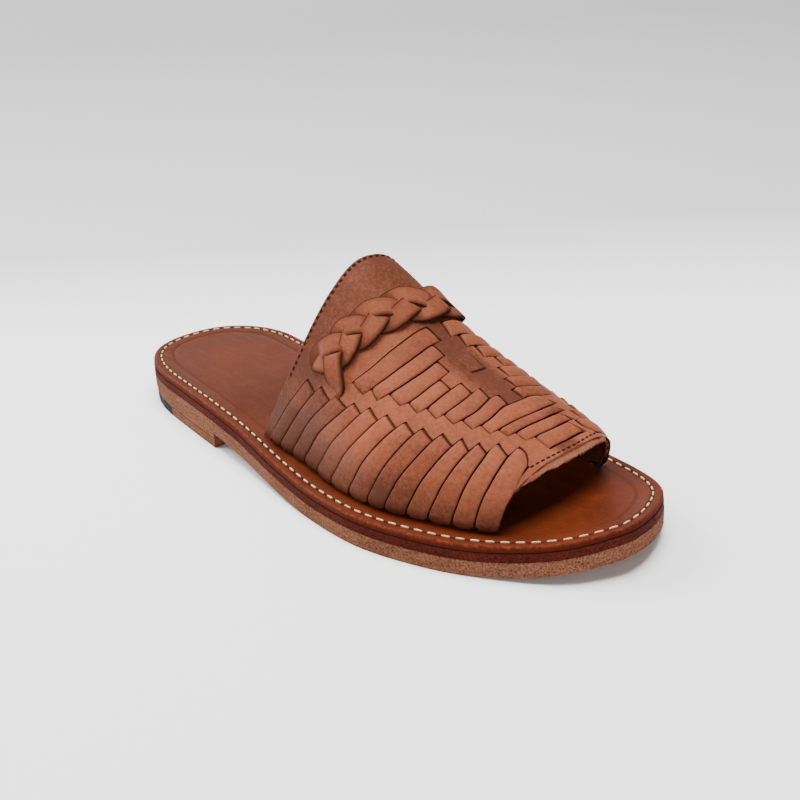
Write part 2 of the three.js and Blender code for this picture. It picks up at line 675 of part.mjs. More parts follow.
const braidAlong = smoothColumn(BRAID_LINE, 'round', 'along');

// Middle line of the braid as evenly walked points, each with the wall's directions there
function braidPath() {
  const first = BRAID_LINE[0].round;
  const last = BRAID_LINE[BRAID_LINE.length - 1].round;
  const pointAt = (round) => wallPoint(braidAlong(round), round, 0);
  let length = 0;
  for (let i = 1; i <= BRAID_SAMPLES; i += 1) {
    const before = pointAt(THREE.MathUtils.lerp(first, last, (i - 1) / BRAID_SAMPLES));
    length += before.distanceTo(pointAt(THREE.MathUtils.lerp(first, last, i / BRAID_SAMPLES)));
  }
  const steps = Math.round(length / BRAID_STEP);
  return Array.from({ length: steps + 1 }, (unused, i) => {
    const round = THREE.MathUtils.lerp(first, last, i / steps);
    const { forward, out } = vampFrame(braidAlong(round), round);
    return { centre: pointAt(round), across: forward, out, distance: (length * i) / steps, length };
  });
}

// One strand: it swings from side to side and passes over and under the other two
function strandGeometry(path, strand) {
  const middle = path.map(({ centre, across, out, distance, length }) => {
    const phase = (2 * Math.PI * distance) / BRAID_PITCH + (2 * Math.PI * strand) / 3;
    const fromEnd = Math.min(distance, length - distance);
    const lift = BRAID_LIFT * THREE.MathUtils.smoothstep(fromEnd, 0, STRAND_WIDTH);
    const level = GLUE_GAP + STRAND_THICKNESS / 2 + lift * (1 + Math.sin(2 * phase));
    const point = centre.clone().addScaledVector(across, BRAID_SWING * Math.cos(phase));
    return { point: point.addScaledVector(out, level), out };
  });
  const half = STRAND_WIDTH / 2;
  const high = STRAND_THICKNESS / 2;
  const profile = [
    [half, 0],
    [half - high, high],
    [high - half, high],
    [-half, 0],
    [high - half, -high],
    [half - high, -high],
  ];
  const skin = new Skin();
  const rings = middle.map(({ point, out }, i) => {
    const before = middle[Math.max(i - 1, 0)].point;
    const after = middle[Math.min(i + 1, middle.length - 1)].point;
    const side = new THREE.Vector3().crossVectors(out, after.clone().sub(before)).normalize();
    return profile.map(([sideways, up]) =>
      skin.add(point.clone().addScaledVector(side, sideways).addScaledVector(out, up)));
  });
  const sides = profile.length;
  for (let i = 0; i + 1 < rings.length; i += 1) {
    for (let k = 0; k < sides; k += 1) {
      const next = (k + 1) % sides;
      skin.quad(rings[i][k], rings[i][next], rings[i + 1][next], rings[i + 1][k]);
    }
  }
  const end = rings[rings.length - 1];
  for (let k = 1; k + 1 < sides; k += 1) {
    skin.triangle(rings[0][0], rings[0][k + 1], rings[0][k]);
    skin.triangle(end[0], end[k], end[k + 1]);
  }
  return skin.geometry();
}

function braidGeometry() {
  const path = braidPath();
  const strands = [0, 1, 2].map((strand) => solidOf(strandGeometry(path, strand)));
  return geometryOf(strands[0].add(strands[1]).add(strands[2]));
}

function piece(name, geometry, finish) {
  const mesh = new THREE.Mesh(geometry, new THREE.MeshStandardMaterial(finish));
  mesh.name = name;
  return mesh;
}

const sandal = new THREE.Group();
sandal.name = 'huarache_sandal';
sandal.add(
  piece('outsole', outsoleGeometry(), OUTSOLE_LEATHER),
  piece('midsole', midsoleGeometry(), MIDSOLE_LEATHER),
  piece('insole', insoleGeometry(), FOOTBED_LEATHER),
  piece('heel_block', heelBlockGeometry(), OUTSOLE_LEATHER),
  piece('heel_tip_leather', heelTipGeometry(false), OUTSOLE_LEATHER),
  piece('heel_tip_rubber', heelTipGeometry(true), HEEL_RUBBER),
  piece('upper', upperGeometry(), STRAP_LEATHER),
  piece('instep_braid', braidGeometry(), BRAID_LEATHER),
);

// The group is moved so that the origin lies on the floor under the middle of the sole
const bounds = new THREE.Box3().setFromObject(sandal);
const middle = bounds.getCenter(new THREE.Vector3());
sandal.position.set(-middle.x, -middle.y, -bounds.min.z);

export default sandal;
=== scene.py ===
import math

import bpy
import numpy as np
from mathutils import Matrix


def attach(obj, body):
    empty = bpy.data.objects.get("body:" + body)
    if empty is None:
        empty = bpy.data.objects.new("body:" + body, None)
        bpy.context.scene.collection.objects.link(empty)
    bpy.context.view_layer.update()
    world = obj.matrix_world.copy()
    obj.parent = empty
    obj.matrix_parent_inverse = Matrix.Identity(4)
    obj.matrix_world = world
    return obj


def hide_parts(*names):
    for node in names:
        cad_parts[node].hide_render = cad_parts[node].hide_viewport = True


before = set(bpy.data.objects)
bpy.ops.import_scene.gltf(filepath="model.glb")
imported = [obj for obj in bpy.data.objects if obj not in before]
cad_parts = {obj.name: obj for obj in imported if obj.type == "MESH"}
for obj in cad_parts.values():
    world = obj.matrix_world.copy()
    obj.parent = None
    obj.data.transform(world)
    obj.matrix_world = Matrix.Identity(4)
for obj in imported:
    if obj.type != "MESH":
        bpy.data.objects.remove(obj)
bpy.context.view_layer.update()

# Driving sizes of the last, as in the part's source
FOOTBED_LENGTH = 256
BALL_WIDTH = 94.5
HEEL_HEIGHT = 7
TOE_SPRING = 6.8
INSTEP_HEIGHT = 70
FEATHER_INSET = 8
OUTSOLE_THICKNESS = 5.2
MIDSOLE_THICKNESS = 3
INSOLE_THICKNESS = 2.4
WALL_THICKNESS = 2
GLUE_GAP = 0.3
HEEL_BREAST = 80
EDGE_INSET = 0.4
ARCH_START = 0.257
BALL_START = 0.634
SPRING_START = 0.827

# Outline of the sole: shares of the footbed length, and of the ball width on each side
OUTLINE = {
    "at": [0, 0.01, 0.035, 0.075, 0.13, 0.2, 0.3, 0.4, 0.5, 0.6, 0.7, 0.8, 0.9, 0.96, 0.99, 1],
    "inner": [
        0, 0.141, 0.235, 0.306, 0.341, 0.33, 0.299, 0.281,
        0.33, 0.426, 0.507, 0.522, 0.472, 0.368, 0.224, 0.083,
    ],
    "outer": [
        0, -0.143, -0.234, -0.3, -0.343, -0.366, -0.394, -0.416,
        -0.45, -0.475, -0.472, -0.4, -0.262, -0.137, -0.01, 0.083,
    ],
}

# Cross sections of the vamp: shares of the instep height and of the ball width, and the roundness
# of each flank, 2 for an ellipse. The feather line's insets are shares of the feather inset
SECTIONS = {
    "at": [0.39, 0.47, 0.547, 0.625, 0.703, 0.781, 0.859, 0.938],
    "height": [1.143, 1.066, 0.944, 0.737, 0.564, 0.444, 0.316, 0.161],
    "ridge": [0.043, 0.055, 0.066, 0.074, 0.083, 0.093, 0.105, 0.108],
    "outer_bulge": [1.7, 1.85, 2.04, 2.37, 2.73, 3.06, 3.38, 3.54],
    "inner_bulge": [2.84, 2.9, 2.94, 2.87, 2.82, 2.89, 3.01, 3.07],
    "outer_inset": [0.75, 0.81, 1.06, 0.94, 0.9, 1, 1, 1],
    "inner_inset": [0.88, 0.9, 1, 1, 1, 1, 1, 1],
}

# Where the vamp starts and ends: shares of the way over the foot and of the footbed length
EDGES = {
    "round": [0, 0.1, 0.25, 0.4, 0.5, 0.6, 0.8, 1],
    "collar": [0.434, 0.473, 0.512, 0.525, 0.523, 0.528, 0.508, 0.457],
    "toe": [0.875, 0.881, 0.886, 0.887, 0.887, 0.886, 0.873, 0.851],
}

# Slits between the strips, from the back one to the front one, at seven heights up the outer side
SLIT_HEIGHTS = [0.03, 0.11, 0.19, 0.26, 0.33, 0.41, 0.5]
SLITS = [
    [0.048, 0.061, 0.095, 0.132, 0.152, 0.156, 0.14],
    [0.108, 0.124, 0.163, 0.212, 0.235, 0.239, 0.225],
    [0.173, 0.191, 0.242, 0.289, 0.322, 0.326, 0.322],
    [0.241, 0.263, 0.32, 0.365, 0.392, 0.396, 0.389],
    [0.32, 0.342, 0.388, 0.422, 0.45, 0.455, 0.445],
    [0.405, 0.423, 0.462, 0.49, 0.519, 0.514, 0.503],
    [0.499, 0.51, 0.537, 0.559, 0.577, 0.568, 0.555],
    [0.583, 0.591, 0.609, 0.621, 0.635, 0.63, 0.612],
    [0.65, 0.659, 0.679, 0.686, 0.69, 0.692, 0.668],
    [0.723, 0.73, 0.743, 0.746, 0.744, 0.743, 0.722],
    [0.792, 0.797, 0.802, 0.799, 0.793, 0.791, 0.789],
    [0.865, 0.865, 0.862, 0.852, 0.834, 0.831, 0.827],
    [0.93, 0.927, 0.924, 0.91, 0.892, 0.878, 0.875],
    [0.979, 0.979, 0.979, 0.972, 0.959, 0.941, 0.937],
]

# Each strip's head, rise and end as shares of the way over the foot, how far each dips towards the
# strip's front corner, and how its top run meets the spine
STRIPS = {
    "head": [0.202, 0.214, 0.227, 0.241, 0.255, 0.264, 0.272, 0.278, 0.29, 0.307, 0.324, 0.364, 0.4],
    "head_dip": [0.012, 0.01, 0.008, 0.012, 0.016, 0.019, 0.02, 0.021, 0.021, 0.027, 0.02, 0.028, 0.06],
    "rise": [0.262, 0.268, 0.275, 0.291, 0.31, 0.32, 0.334, 0.344, 0.36, 0.382, 0.407, 0.44, 0.479],
    "rise_dip": [0, 0, 0.007, 0.014, 0.01, 0.013, 0.014, 0.012, 0.009, 0.008, 0, 0, 0.004],
    "end": [0.54, 0.54, 0.536, 0.512, 0.485, 0.444, 0.482, 0.509, 0.533, 0.54, 0.54, 0.54, 0.54],
    "end_dip": [0, 0, -0.007, -0.005, -0.002, 0.004, 0.007, 0.009, 0.006, 0, 0, 0, 0],
    "top": 2 * ["none"] + 7 * ["split"] + 4 * ["whole"],
}
STRIP_COUNT = len(STRIPS["top"])

# The front strip's head is rounded by a power of the share across it. Strips that cross the spine
# whole rise nearer to it on the inner side, and the inner side's slits lean back to the collar
FRONT_HEAD_ROUNDING = 3
INNER_RISE = 0.442
INNER_RISE_DIP = 0.05
SPINE_AT = 0.56
INNER_LEAN = 0.035
LEAN_STRIPS = 11
LEAN_HALF = 0.11

# The table of the last's skin lies this far above the plain leather's outer face
SKIN_ABOVE_LEATHER = 0.9

# Strips in the look: their rise above the plain leather, crown, shingling, dives under the band and
# the footbed, half the slit beside them, and how deep the bed under them lies
STRIP_RISE = 0.62
STRIP_CROWN = 0.32
STRIP_SHINGLE = 0.1
DIVE_DEPTH = 0.5
DIVE_LENGTH = 2.3
DIVE_REACH = 0.003
FOOT_PULL = 2.1
FOOT_LENGTH = 6.5
FOOT_SWELL = 0.45
FOOT_NARROWING = 0.34
HALF_SLIT = 0.21
INNER_HALF_SLIT = 0.5
INNER_SHINGLE = 0.45
BED_HALF_SLIT = 0.28
BED_DEPTH = 1.55
STRIP_STATIONS = 46

# Braid: its middle line over the instep, the size, swing and lift of its strands, how steeply they
# pass each other and spread at the ends, and where each third of a turn falls
BRAID_LINE = {
    "round": [0.235, 0.344, 0.44, 0.5, 0.56, 0.65, 0.75, 0.815],
    "along": [0.157, 0.185, 0.212, 0.222, 0.231, 0.224, 0.18, 0.169],
}
STRAND_WIDTH = 7.7
STRAND_THICKNESS = 1.2
BRAID_SWING = 3.8
BRAID_LIFT = 0.82
BRAID_STEEPNESS = 1.8
BRAID_SPLAY = 1.7
BRAID_TURNS = {
    "round": [0.235, 0.315, 0.375, 0.46, 0.555, 0.643, 0.75, 0.815],
    "thirds": [-0.25, 0.95, 1.96, 2.98, 3.98, 4.95, 6, 6.6],
}

# Seam of the footbed: its place in from the rim, its stitches and the holes between them, the holes being
# dark beads of painted shade
SEAM_INSET = 3.8
STITCH_SPACING = 4.93
STITCH_LENGTH = 3
STITCH_WIDTH = 0.66
STITCH_HEIGHT = 0.8
STITCH_SINK = 0.08
HOLE_SIZE = (1.15, 0.8, 0.3)
HOLE_SINK = 0.35
HOLE_SQUARENESS = 0.9

# Seams of the vamp: share along it, ends as shares of the way over the foot, spacing, and a
# stitch's length, width and height with the squareness of its corners
VAMP_SEAMS = {
    "collar_stitches": {
        "along": 0.014,
        "ends": (0.177, 0.861),
        "spacing": 2.6,
        "size": (1.55, 1.25, 0.5),
        "squareness": 0.9,
    },
    "toe_stitches": {
        "along": 0.964,
        "ends": (0.33, 0.79),
        "spacing": 2.5,
        "size": (1.8, 0.75, 0.35),
        "squareness": 0.8,
    },
}
VAMP_SEAM_LEVEL = -0.02


def smoothstep(value, low, high):
    share = np.clip((value - low) / (high - low), 0, 1)
    return share * share * (3 - 2 * share)


def lerp(a, b, share):
    return a + (b - a) * share


def smooth_column(xs, ys):
    """Smooth curve through points: cubic pieces whose slopes average the chords beside them."""
    xs = np.array(xs, float)
    ys = np.array(ys, float)
    widths = np.diff(xs)
    chords = np.diff(ys) / widths
    middle = (chords[:-1] * widths[1:] + chords[1:] * widths[:-1]) / (widths[:-1] + widths[1:])
    slopes = np.concatenate([chords[:1], middle, chords[-1:]])

    def curve(x):
        at = np.clip(x, xs[0], xs[-1])
        i = np.clip(np.searchsorted(xs, at, side="right") - 1, 0, len(xs) - 2)
        t = (at - xs[i]) / widths[i]
        start = ys[i] * (1 + 2 * t) + slopes[i] * widths[i] * t
        finish = ys[i + 1] * (3 - 2 * t) + slopes[i + 1] * widths[i] * (t - 1)
        return start * (1 - t) ** 2 + finish * t**2

    return curve


def turn_of(x):
    """Turn of a place along the sole: the arc cosine of 1 - 2x / length, from 0 to pi."""
    return np.arccos(np.clip(1 - 2 * np.asarray(x, float) / FOOTBED_LENGTH, -1, 1))


outline_turns = turn_of(np.array(OUTLINE["at"]) * FOOTBED_LENGTH)
inner_share = smooth_column(outline_turns, OUTLINE["inner"])
outer_share = smooth_column(outline_turns, OUTLINE["outer"])


def inner_edge(x):
    return BALL_WIDTH * inner_share(turn_of(x))


def outer_edge(x):
    return BALL_WIDTH * outer_share(turn_of(x))


def sole_line(x):
    """Underside of the outsole: level at the heel, falling through the arch, rising at the toe."""
    share = np.asarray(x, float) / FOOTBED_LENGTH
    fall = smoothstep(share, ARCH_START, BALL_START)
    spring = np.clip((share - SPRING_START) / (1 - SPRING_START), 0, 1)
    return HEEL_HEIGHT * (1 - fall) + TOE_SPRING * spring**2


def midsole_under(x):
    return sole_line(x) + OUTSOLE_THICKNESS + GLUE_GAP


def insole_under(x):
    return midsole_under(x) + MIDSOLE_THICKNESS + GLUE_GAP


def footbed_top(x):
    return insole_under(x) + INSOLE_THICKNESS


def outline_point(turn):
    """Outline: x = length (1 - cos turn) / 2, y from the inner side to pi and the outer one after."""
    wrapped = np.mod(turn, 2 * np.pi)
    on_inner = wrapped <= np.pi
    share = np.where(on_inner, inner_share(wrapped), outer_share(2 * np.pi - wrapped))
    return np.stack([FOOTBED_LENGTH * (1 - np.cos(wrapped)) / 2, BALL_WIDTH * share], -1)


def inset_point(turn, inset):
    """The outline moved inwards, square to itself."""
    nudge = 0.01
    along = outline_point(turn + nudge) - outline_point(turn - nudge)
    along /= np.linalg.norm(along, axis=-1, keepdims=True)
    inward = np.stack([along[..., 1], -along[..., 0]], -1)
    return outline_point(turn) + inward * np.asarray(inset)[..., None]


outline_ys = outline_point(np.linspace(0, 2 * np.pi, 2001))[:, 1]
ORIGIN = np.array([FOOTBED_LENGTH / 2, (outline_ys.min() + outline_ys.max()) / 2, 0])
MM = 0.001


def to_row(points):
    """Points of the last in millimetres, as points of the row's frame in metres."""
    return (np.asarray(points) - ORIGIN) * MM


# The last's skin over the foot, as a table over the shares along and round
section_column = {name: smooth_column(SECTIONS["at"], SECTIONS[name]) for name in SECTIONS}
collar_share = smooth_column(EDGES["round"], EDGES["collar"])
toe_share = smooth_column(EDGES["round"], EDGES["toe"])
SECTION_STEPS = 60
SKIN_ALONG = np.linspace(-0.05, 1.05, 221)
SKIN_ROUND = np.linspace(0, 1, 301)
SLOPE_REACH = 0.02


def vamp_length(around):
    return FOOTBED_LENGTH * (toe_share(around) - collar_share(around))


def skin_points():
    """At each x the section is two quarters of a superellipse that meet on the ridge: y = ridge -
    reach |cos a|^(2/bulge), z = top + height (sin a)^(2/bulge). round is the share of its length."""
    along, around = np.meshgrid(SKIN_ALONG, SKIN_ROUND, indexing="ij")
    collar = FOOTBED_LENGTH * collar_share(around)
    x = (collar + vamp_length(around) * along).ravel()
    at = x / FOOTBED_LENGTH
    ridge = section_column["ridge"](at) * BALL_WIDTH
    outer_reach = ridge - outer_edge(x) - section_column["outer_inset"](at) * FEATHER_INSET
    inner_reach = inner_edge(x) - section_column["inner_inset"](at) * FEATHER_INSET - ridge
    angle = np.linspace(0, np.pi, SECTION_STEPS + 1)
    on_outer = angle <= np.pi / 2
    outer_power = 2 / section_column["outer_bulge"](at)[:, None]
    inner_power = 2 / section_column["inner_bulge"](at)[:, None]
    power = np.where(on_outer, outer_power, inner_power)
    reach = np.where(on_outer, -outer_reach[:, None], inner_reach[:, None])
    y = ridge[:, None] + reach * np.abs(np.cos(angle)) ** power
    rise = section_column["height"](at)[:, None] * INSTEP_HEIGHT
    z = footbed_top(x)[:, None] + rise * np.abs(np.sin(angle)) ** power
    steps = np.hypot(np.diff(y, axis=1), np.diff(z, axis=1))
    distance = np.concatenate([np.zeros((len(x), 1)), np.cumsum(steps, axis=1)], axis=1)
    wanted = around.ravel() * distance[:, -1]
    after = np.clip((distance < wanted[:, None]).sum(axis=1), 1, SECTION_STEPS)
    row = np.arange(len(x))
    near = distance[row, after - 1]
    share = (wanted - near) / (distance[row, after] - near)
    y = lerp(y[row, after - 1], y[row, after], share)
    z = lerp(z[row, after - 1], z[row, after], share)
    return np.stack([x, y, z], -1).reshape(*along.shape, 3)


def skin_outward(points):
    """Unit vectors square to the table's two directions, taken over a short reach each way."""
    i_reach = round(SLOPE_REACH / (SKIN_ALONG[1] - SKIN_ALONG[0]))
    j_reach = round(SLOPE_REACH / (SKIN_ROUND[1] - SKIN_ROUND[0]))
    i = np.arange(len(SKIN_ALONG))
    j = np.arange(len(SKIN_ROUND))
    forward = points[np.minimum(i + i_reach, i[-1])] - points[np.maximum(i - i_reach, 0)]
    over = points[:, np.minimum(j + j_reach, j[-1])] - points[:, np.maximum(j - j_reach, 0)]
    out = np.cross(forward, over)
    return out / np.linalg.norm(out, axis=-1, keepdims=True)


skin_table = skin_points()
outward_table = skin_outward(skin_table)


def from_table(table, along, around):
    """Value of a table between its rows and columns, and straight on past its sides."""
    u = (along - SKIN_ALONG[0]) / (SKIN_ALONG[1] - SKIN_ALONG[0])
    v = (around - SKIN_ROUND[0]) / (SKIN_ROUND[1] - SKIN_ROUND[0])
    i = np.clip(u.astype(int), 0, len(SKIN_ALONG) - 2)
    j = np.clip(v.astype(int), 0, len(SKIN_ROUND) - 2)
    a = (u - i)[..., None]
    b = (v - j)[..., None]
    near = table[i, j] * (1 - b) + table[i, j + 1] * b
    far = table[i + 1, j] * (1 - b) + table[i + 1, j + 1] * b
    return near * (1 - a) + far * a


def on_vamp(along, around, level):
    """Points of the vamp: level 0 is the outer face of the plain leather."""
    along, around, level = np.broadcast_arrays(along * 1.0, around * 1.0, level * 1.0)
    outward = from_table(outward_table, along, around)
    return from_table(skin_table, along, around) + outward * (level - SKIN_ABOVE_LEATHER)[..., None]


def path_length(points):
    steps = np.linalg.norm(np.diff(points, axis=0), axis=-1)
    return np.concatenate([[0], np.cumsum(steps)])


# The weave's lines
def mirror_round(around):
    return 1 - around * (1 - SPINE_AT) / SPINE_AT


def outer_round(around):
    return np.where(around <= SPINE_AT, around, (1 - around) * SPINE_AT / (1 - SPINE_AT))


slit_curves = [smooth_column(SLIT_HEIGHTS, row) for row in SLITS]


def slit_along(slit, around):
    lean = INNER_LEAN * max(0, 1 - (slit + 1) / LEAN_STRIPS)
    crossed = smoothstep(around, SPINE_AT - LEAN_HALF, SPINE_AT + LEAN_HALF)
    return slit_curves[slit](outer_round(around)) - lean * crossed


def strip_lines(strip, corner, inner=False):
    """Head, rise and end of a strip's runs, at a share of the way from its back edge to its front."""
    lines = {name: column[strip] for name, column in STRIPS.items()}
    if inner and lines["top"] == "whole":
        lines |= {"rise": INNER_RISE, "rise_dip": INNER_RISE_DIP}
    rounding = FRONT_HEAD_ROUNDING if strip == STRIP_COUNT - 1 else 1
    head = lines["head"] - lines["head_dip"] * corner**rounding
    rise = lines["rise"] - lines["rise_dip"] * corner
    return head, rise, lines["end"] - lines["end_dip"] * corner


# Meshes
def grid_faces(rows, columns, wrap_rows=False, wrap_columns=False):
    """Quads of a grid of points that is stored row by row."""
    r = np.arange(rows if wrap_rows else rows - 1)
    c = np.arange(columns if wrap_columns else columns - 1)
    r, c = np.meshgrid(r, c, indexing="ij")
    r_next = (r + 1) % rows
    c_next = (c + 1) % columns
    corners = [r * columns + c, r * columns + c_next, r_next * columns + c_next, r_next * columns + c]
    return np.stack(corners, -1).reshape(-1, 4)


def enclosed_volume(points, faces):
    """Signed volume of a closed mesh of polygons, from a fan of triangles in each."""
    total = 0
    for size in sorted({len(face) for face in faces}):
        corners = points[np.array([face for face in faces if len(face) == size])]
        for k in range(1, size - 1):
            total += np.einsum("ij,ij->", corners[:, 0], np.cross(corners[:, k], corners[:, k + 1]))
    return total / 6


class Form:
    """A mesh in the making: points in millimetres, faces, flat coordinates in metres, and marks,
    which are numbers that the materials read at each point."""

    MARKS = ("raw", "dark", "lining", "tone_and_painted_shade")

    def __init__(self):
        self.points = []
        self.faces = []
        self.flat = []
        self.marks = {name: [] for name in self.MARKS}
        self.count = 0

    def add(self, points, faces, flat=None, **marks):
        """Adds a closed part, turned so that its faces point outwards."""
        points = np.asarray(points, float).reshape(-1, 3)
        faces = [list(face) for face in faces]
        if enclosed_volume(points, faces) < 0:
            faces = [face[::-1] for face in faces]
        self.faces += [[index + self.count for index in face] for face in faces]
        self.points.append(points)
        self.flat.append(np.zeros((len(points), 2)) if flat is None else flat.reshape(-1, 2))
        for name in self.MARKS:
            values = np.broadcast_to(np.asarray(marks.get(name, 0.0), float).ravel(), len(points))
            self.marks[name].append(values)
        self.count += len(points)

    def add_tube(self, grid, flat=None, **marks):
        """Adds a profile carried along a path: grid is stations by profile points, capped at ends."""
        stations, profile = grid.shape[:2]
        faces = grid_faces(stations, profile, wrap_columns=True).tolist()
        faces.append(list(range(profile))[::-1])
        faces.append([(stations - 1) * profile + k for k in range(profile)])
        self.add(grid, faces, flat, **marks)

    def build(self, name, material, sharp_degrees=40):
        mesh = bpy.data.meshes.new(name)
        mesh.from_pydata(to_row(np.concatenate(self.points)).tolist(), [], self.faces)
        loops = np.zeros(len(mesh.loops), int)
        mesh.loops.foreach_get("vertex_index", loops)
        flat = np.concatenate(self.flat)
        mesh.uv_layers.new(name="Flat").data.foreach_set("uv", flat[loops].astype(np.float32).ravel())
        for mark, values in self.marks.items():
            layer = mesh.attributes.new(mark, "FLOAT", "POINT")
            layer.data.foreach_set("value", np.concatenate(values).astype(np.float32))
        mesh.polygons.foreach_set("use_smooth", np.ones(len(mesh.polygons), bool))
        mesh.set_sharp_from_angle(angle=math.radians(sharp_degrees))
        mesh.materials.append(material)
        piece = bpy.data.objects.new(name, mesh)
        bpy.context.scene.collection.objects.link(piece)
        return piece


def welded(points, faces):
    """The same faces with equal points joined, and sides that joining leaves without length gone.
    Gives the joined points, the faces, and where each old point went."""
    keys, places = np.unique(np.round(points, 4), axis=0, return_inverse=True)
    places = places.ravel()
    joined = []
    for face in places[faces].tolist():
        ring = [corner for i, corner in enumerate(face) if corner != face[i - 1]]
        if len(ring) > 2:
            joined.append(ring)
    return keys, joined, places


# Materials
def hue(text):
    """Colour as light, from its six screen digits."""
    parts = [int(text[i : i + 2], 16) / 255 for i in (0, 2, 4)]
    return tuple(((c + 0.055) / 1.055) ** 2.4 if c > 0.04045 else c / 12.92 for c in parts) + (1,)


def new_node(tree, kind, inputs=None, **settings):
    """New node with its settings. Its inputs are values, or other nodes' outputs to link."""
    made = tree.nodes.new(kind)
    for key, value in settings.items():
        setattr(made, key, value)
    for key, value in (inputs or {}).items():
        if isinstance(value, bpy.types.NodeSocket):
            tree.links.new(value, made.inputs[key])
        else:
            made.inputs[key].default_value = value
    return made


class Finish:
    """A material whose nodes are added one by one, all on object coordinates unless told else."""

    def __init__(self, name, **shader_values):
        self.material = bpy.data.materials.new(name)
        self.material.use_nodes = True
        self.tree = self.material.node_tree
        self.shader = self.tree.nodes["Principled BSDF"]
        for socket, value in shader_values.items():
            self.shader.inputs[socket.replace("_", " ")].default_value = value
        self.coordinates = self.new("ShaderNodeTexCoord").outputs["Object"]

    def new(self, kind, inputs=None, **settings):
        return new_node(self.tree, kind, inputs, **settings)

    def flat(self, across, along):
        """Coordinates on the leather laid flat, stretched along either way."""
        source = self.new("ShaderNodeUVMap", uv_map="Flat").outputs["UV"]
        return self.new("ShaderNodeMapping", {"Vector": source, "Scale": (across, along, 1)}).outputs[0]

    def stretched(self, x, y, z):
        mapping = {"Vector": self.coordinates, "Scale": (x, y, z)}
        return self.new("ShaderNodeMapping", mapping).outputs[0]

    def noise(self, scale, detail=3, roughness=0.55, where=None, distortion=0):
        inputs = {"Vector": where or self.coordinates, "Scale": scale, "Detail": detail}
        inputs |= {"Roughness": roughness, "Distortion": distortion}
        return self.new("ShaderNodeTexNoise", inputs).outputs["Fac"]

    def cells(self, scale):
        inputs = {"Vector": self.coordinates, "Scale": scale}
        return self.new("ShaderNodeTexVoronoi", inputs, feature="SMOOTH_F1").outputs["Distance"]

    def mark(self, name):
        return self.new("ShaderNodeAttribute", attribute_name=name).outputs["Fac"]

    def ranged(self, value, low, high, to_low=0, to_high=1):
        inputs = {"Value": value, "From Min": low, "From Max": high, "To Min": to_low, "To Max": to_high}
        return self.new("ShaderNodeMapRange", inputs).outputs[0]

    def plus(self, a, b):
        return self.new("ShaderNodeMath", {0: a, 1: b}, operation="ADD").outputs[0]

    def scaled(self, value, by):
        return self.new("ShaderNodeMath", {0: value, 1: by}, operation="MULTIPLY").outputs[0]

    def mixed(self, share, a, b, blend="MIX"):
        inputs = {"Factor": share, 6: a, 7: b}
        return self.new("ShaderNodeMix", inputs, data_type="RGBA", blend_type=blend).outputs[2]

    def bump(self, height, depth, strength=1.0, below=None):
        inputs = {"Height": height, "Distance": depth, "Strength": strength}
        if below is not None:
            inputs["Normal"] = below
        return self.new("ShaderNodeBump", inputs).outputs["Normal"]

    def connect(self, **sockets):
        for name, source in sockets.items():
            self.tree.links.new(source, self.shader.inputs[name.replace("_", " ")])
        return self.material


# Tint of every leather's gloss, and the colour of shaded slits
WARM_GLOSS = hue("e6b494")
SLIT_SHADE = hue("1c0d08")


def strap_leather(name, light, deep, raw, lining):
    """Vegetable-tanned leather: blotches, fine pores and creases across the strap. Its marks give
    raw cut edges, the lining, shaded slits and the tone of each strap, which holds painted shade."""
    finish = Finish(name, Specular_IOR_Level=0.15, Specular_Tint=WARM_GLOSS)
    blotch = finish.noise(38, detail=4, roughness=0.6)
    fine = finish.noise(780, detail=5, roughness=0.7)
    fleck = finish.ranged(fine, 0.3, 0.7, -0.22, 0.34)
    tone = finish.plus(finish.ranged(blotch, 0.3, 0.7, 0.14, 0.6), fleck)
    # Tone of each strap: chance differences, and painted shade low at the feet, near the collar and on the
    # spine
    tone = finish.plus(tone, finish.scaled(finish.mark("tone_and_painted_shade"), 0.35))
    colour = finish.mixed(finish.ranged(tone, 0, 1), hue(deep), hue(light))
    # Raw edges, the lining, its own leather darkened further as painted shade inside the vamp, and shaded
    # slits
    fibre = finish.noise(900, detail=6, roughness=0.7)
    raw_colour = finish.mixed(fibre, hue(raw), hue(deep))
    colour = finish.mixed(finish.ranged(finish.mark("raw"), 0.35, 0.95), colour, raw_colour)
    shaded_lining_colour = finish.mixed(finish.ranged(fibre, 0.3, 0.7), hue(lining), hue(deep))
    colour = finish.mixed(finish.mark("lining"), colour, shaded_lining_colour)
    colour = finish.mixed(finish.scaled(finish.mark("dark"), 0.85), colour, SLIT_SHADE)
    # Grain of pores and creases, over soft waves
    pores = finish.cells(1150)
    creases = finish.noise(1, detail=5, roughness=0.6, where=finish.flat(across=260, along=1500))
    grain = finish.plus(finish.scaled(pores, 0.55), finish.scaled(creases, 0.7))
    grain = finish.plus(grain, finish.scaled(finish.noise(2600, detail=3), 0.35))
    soft = finish.bump(finish.noise(130, detail=3, roughness=0.5), 0.0009, 0.35)
    rough = finish.ranged(finish.plus(fine, finish.mark("raw")), 0.3, 1.2, 0.46, 0.85)
    rough = finish.plus(rough, finish.scaled(finish.mark("dark"), 0.5))
    return finish.connect(
        Base_Color=colour,
        Roughness=rough,
        Normal=finish.bump(grain, 0.00022, 0.7, soft),
    )


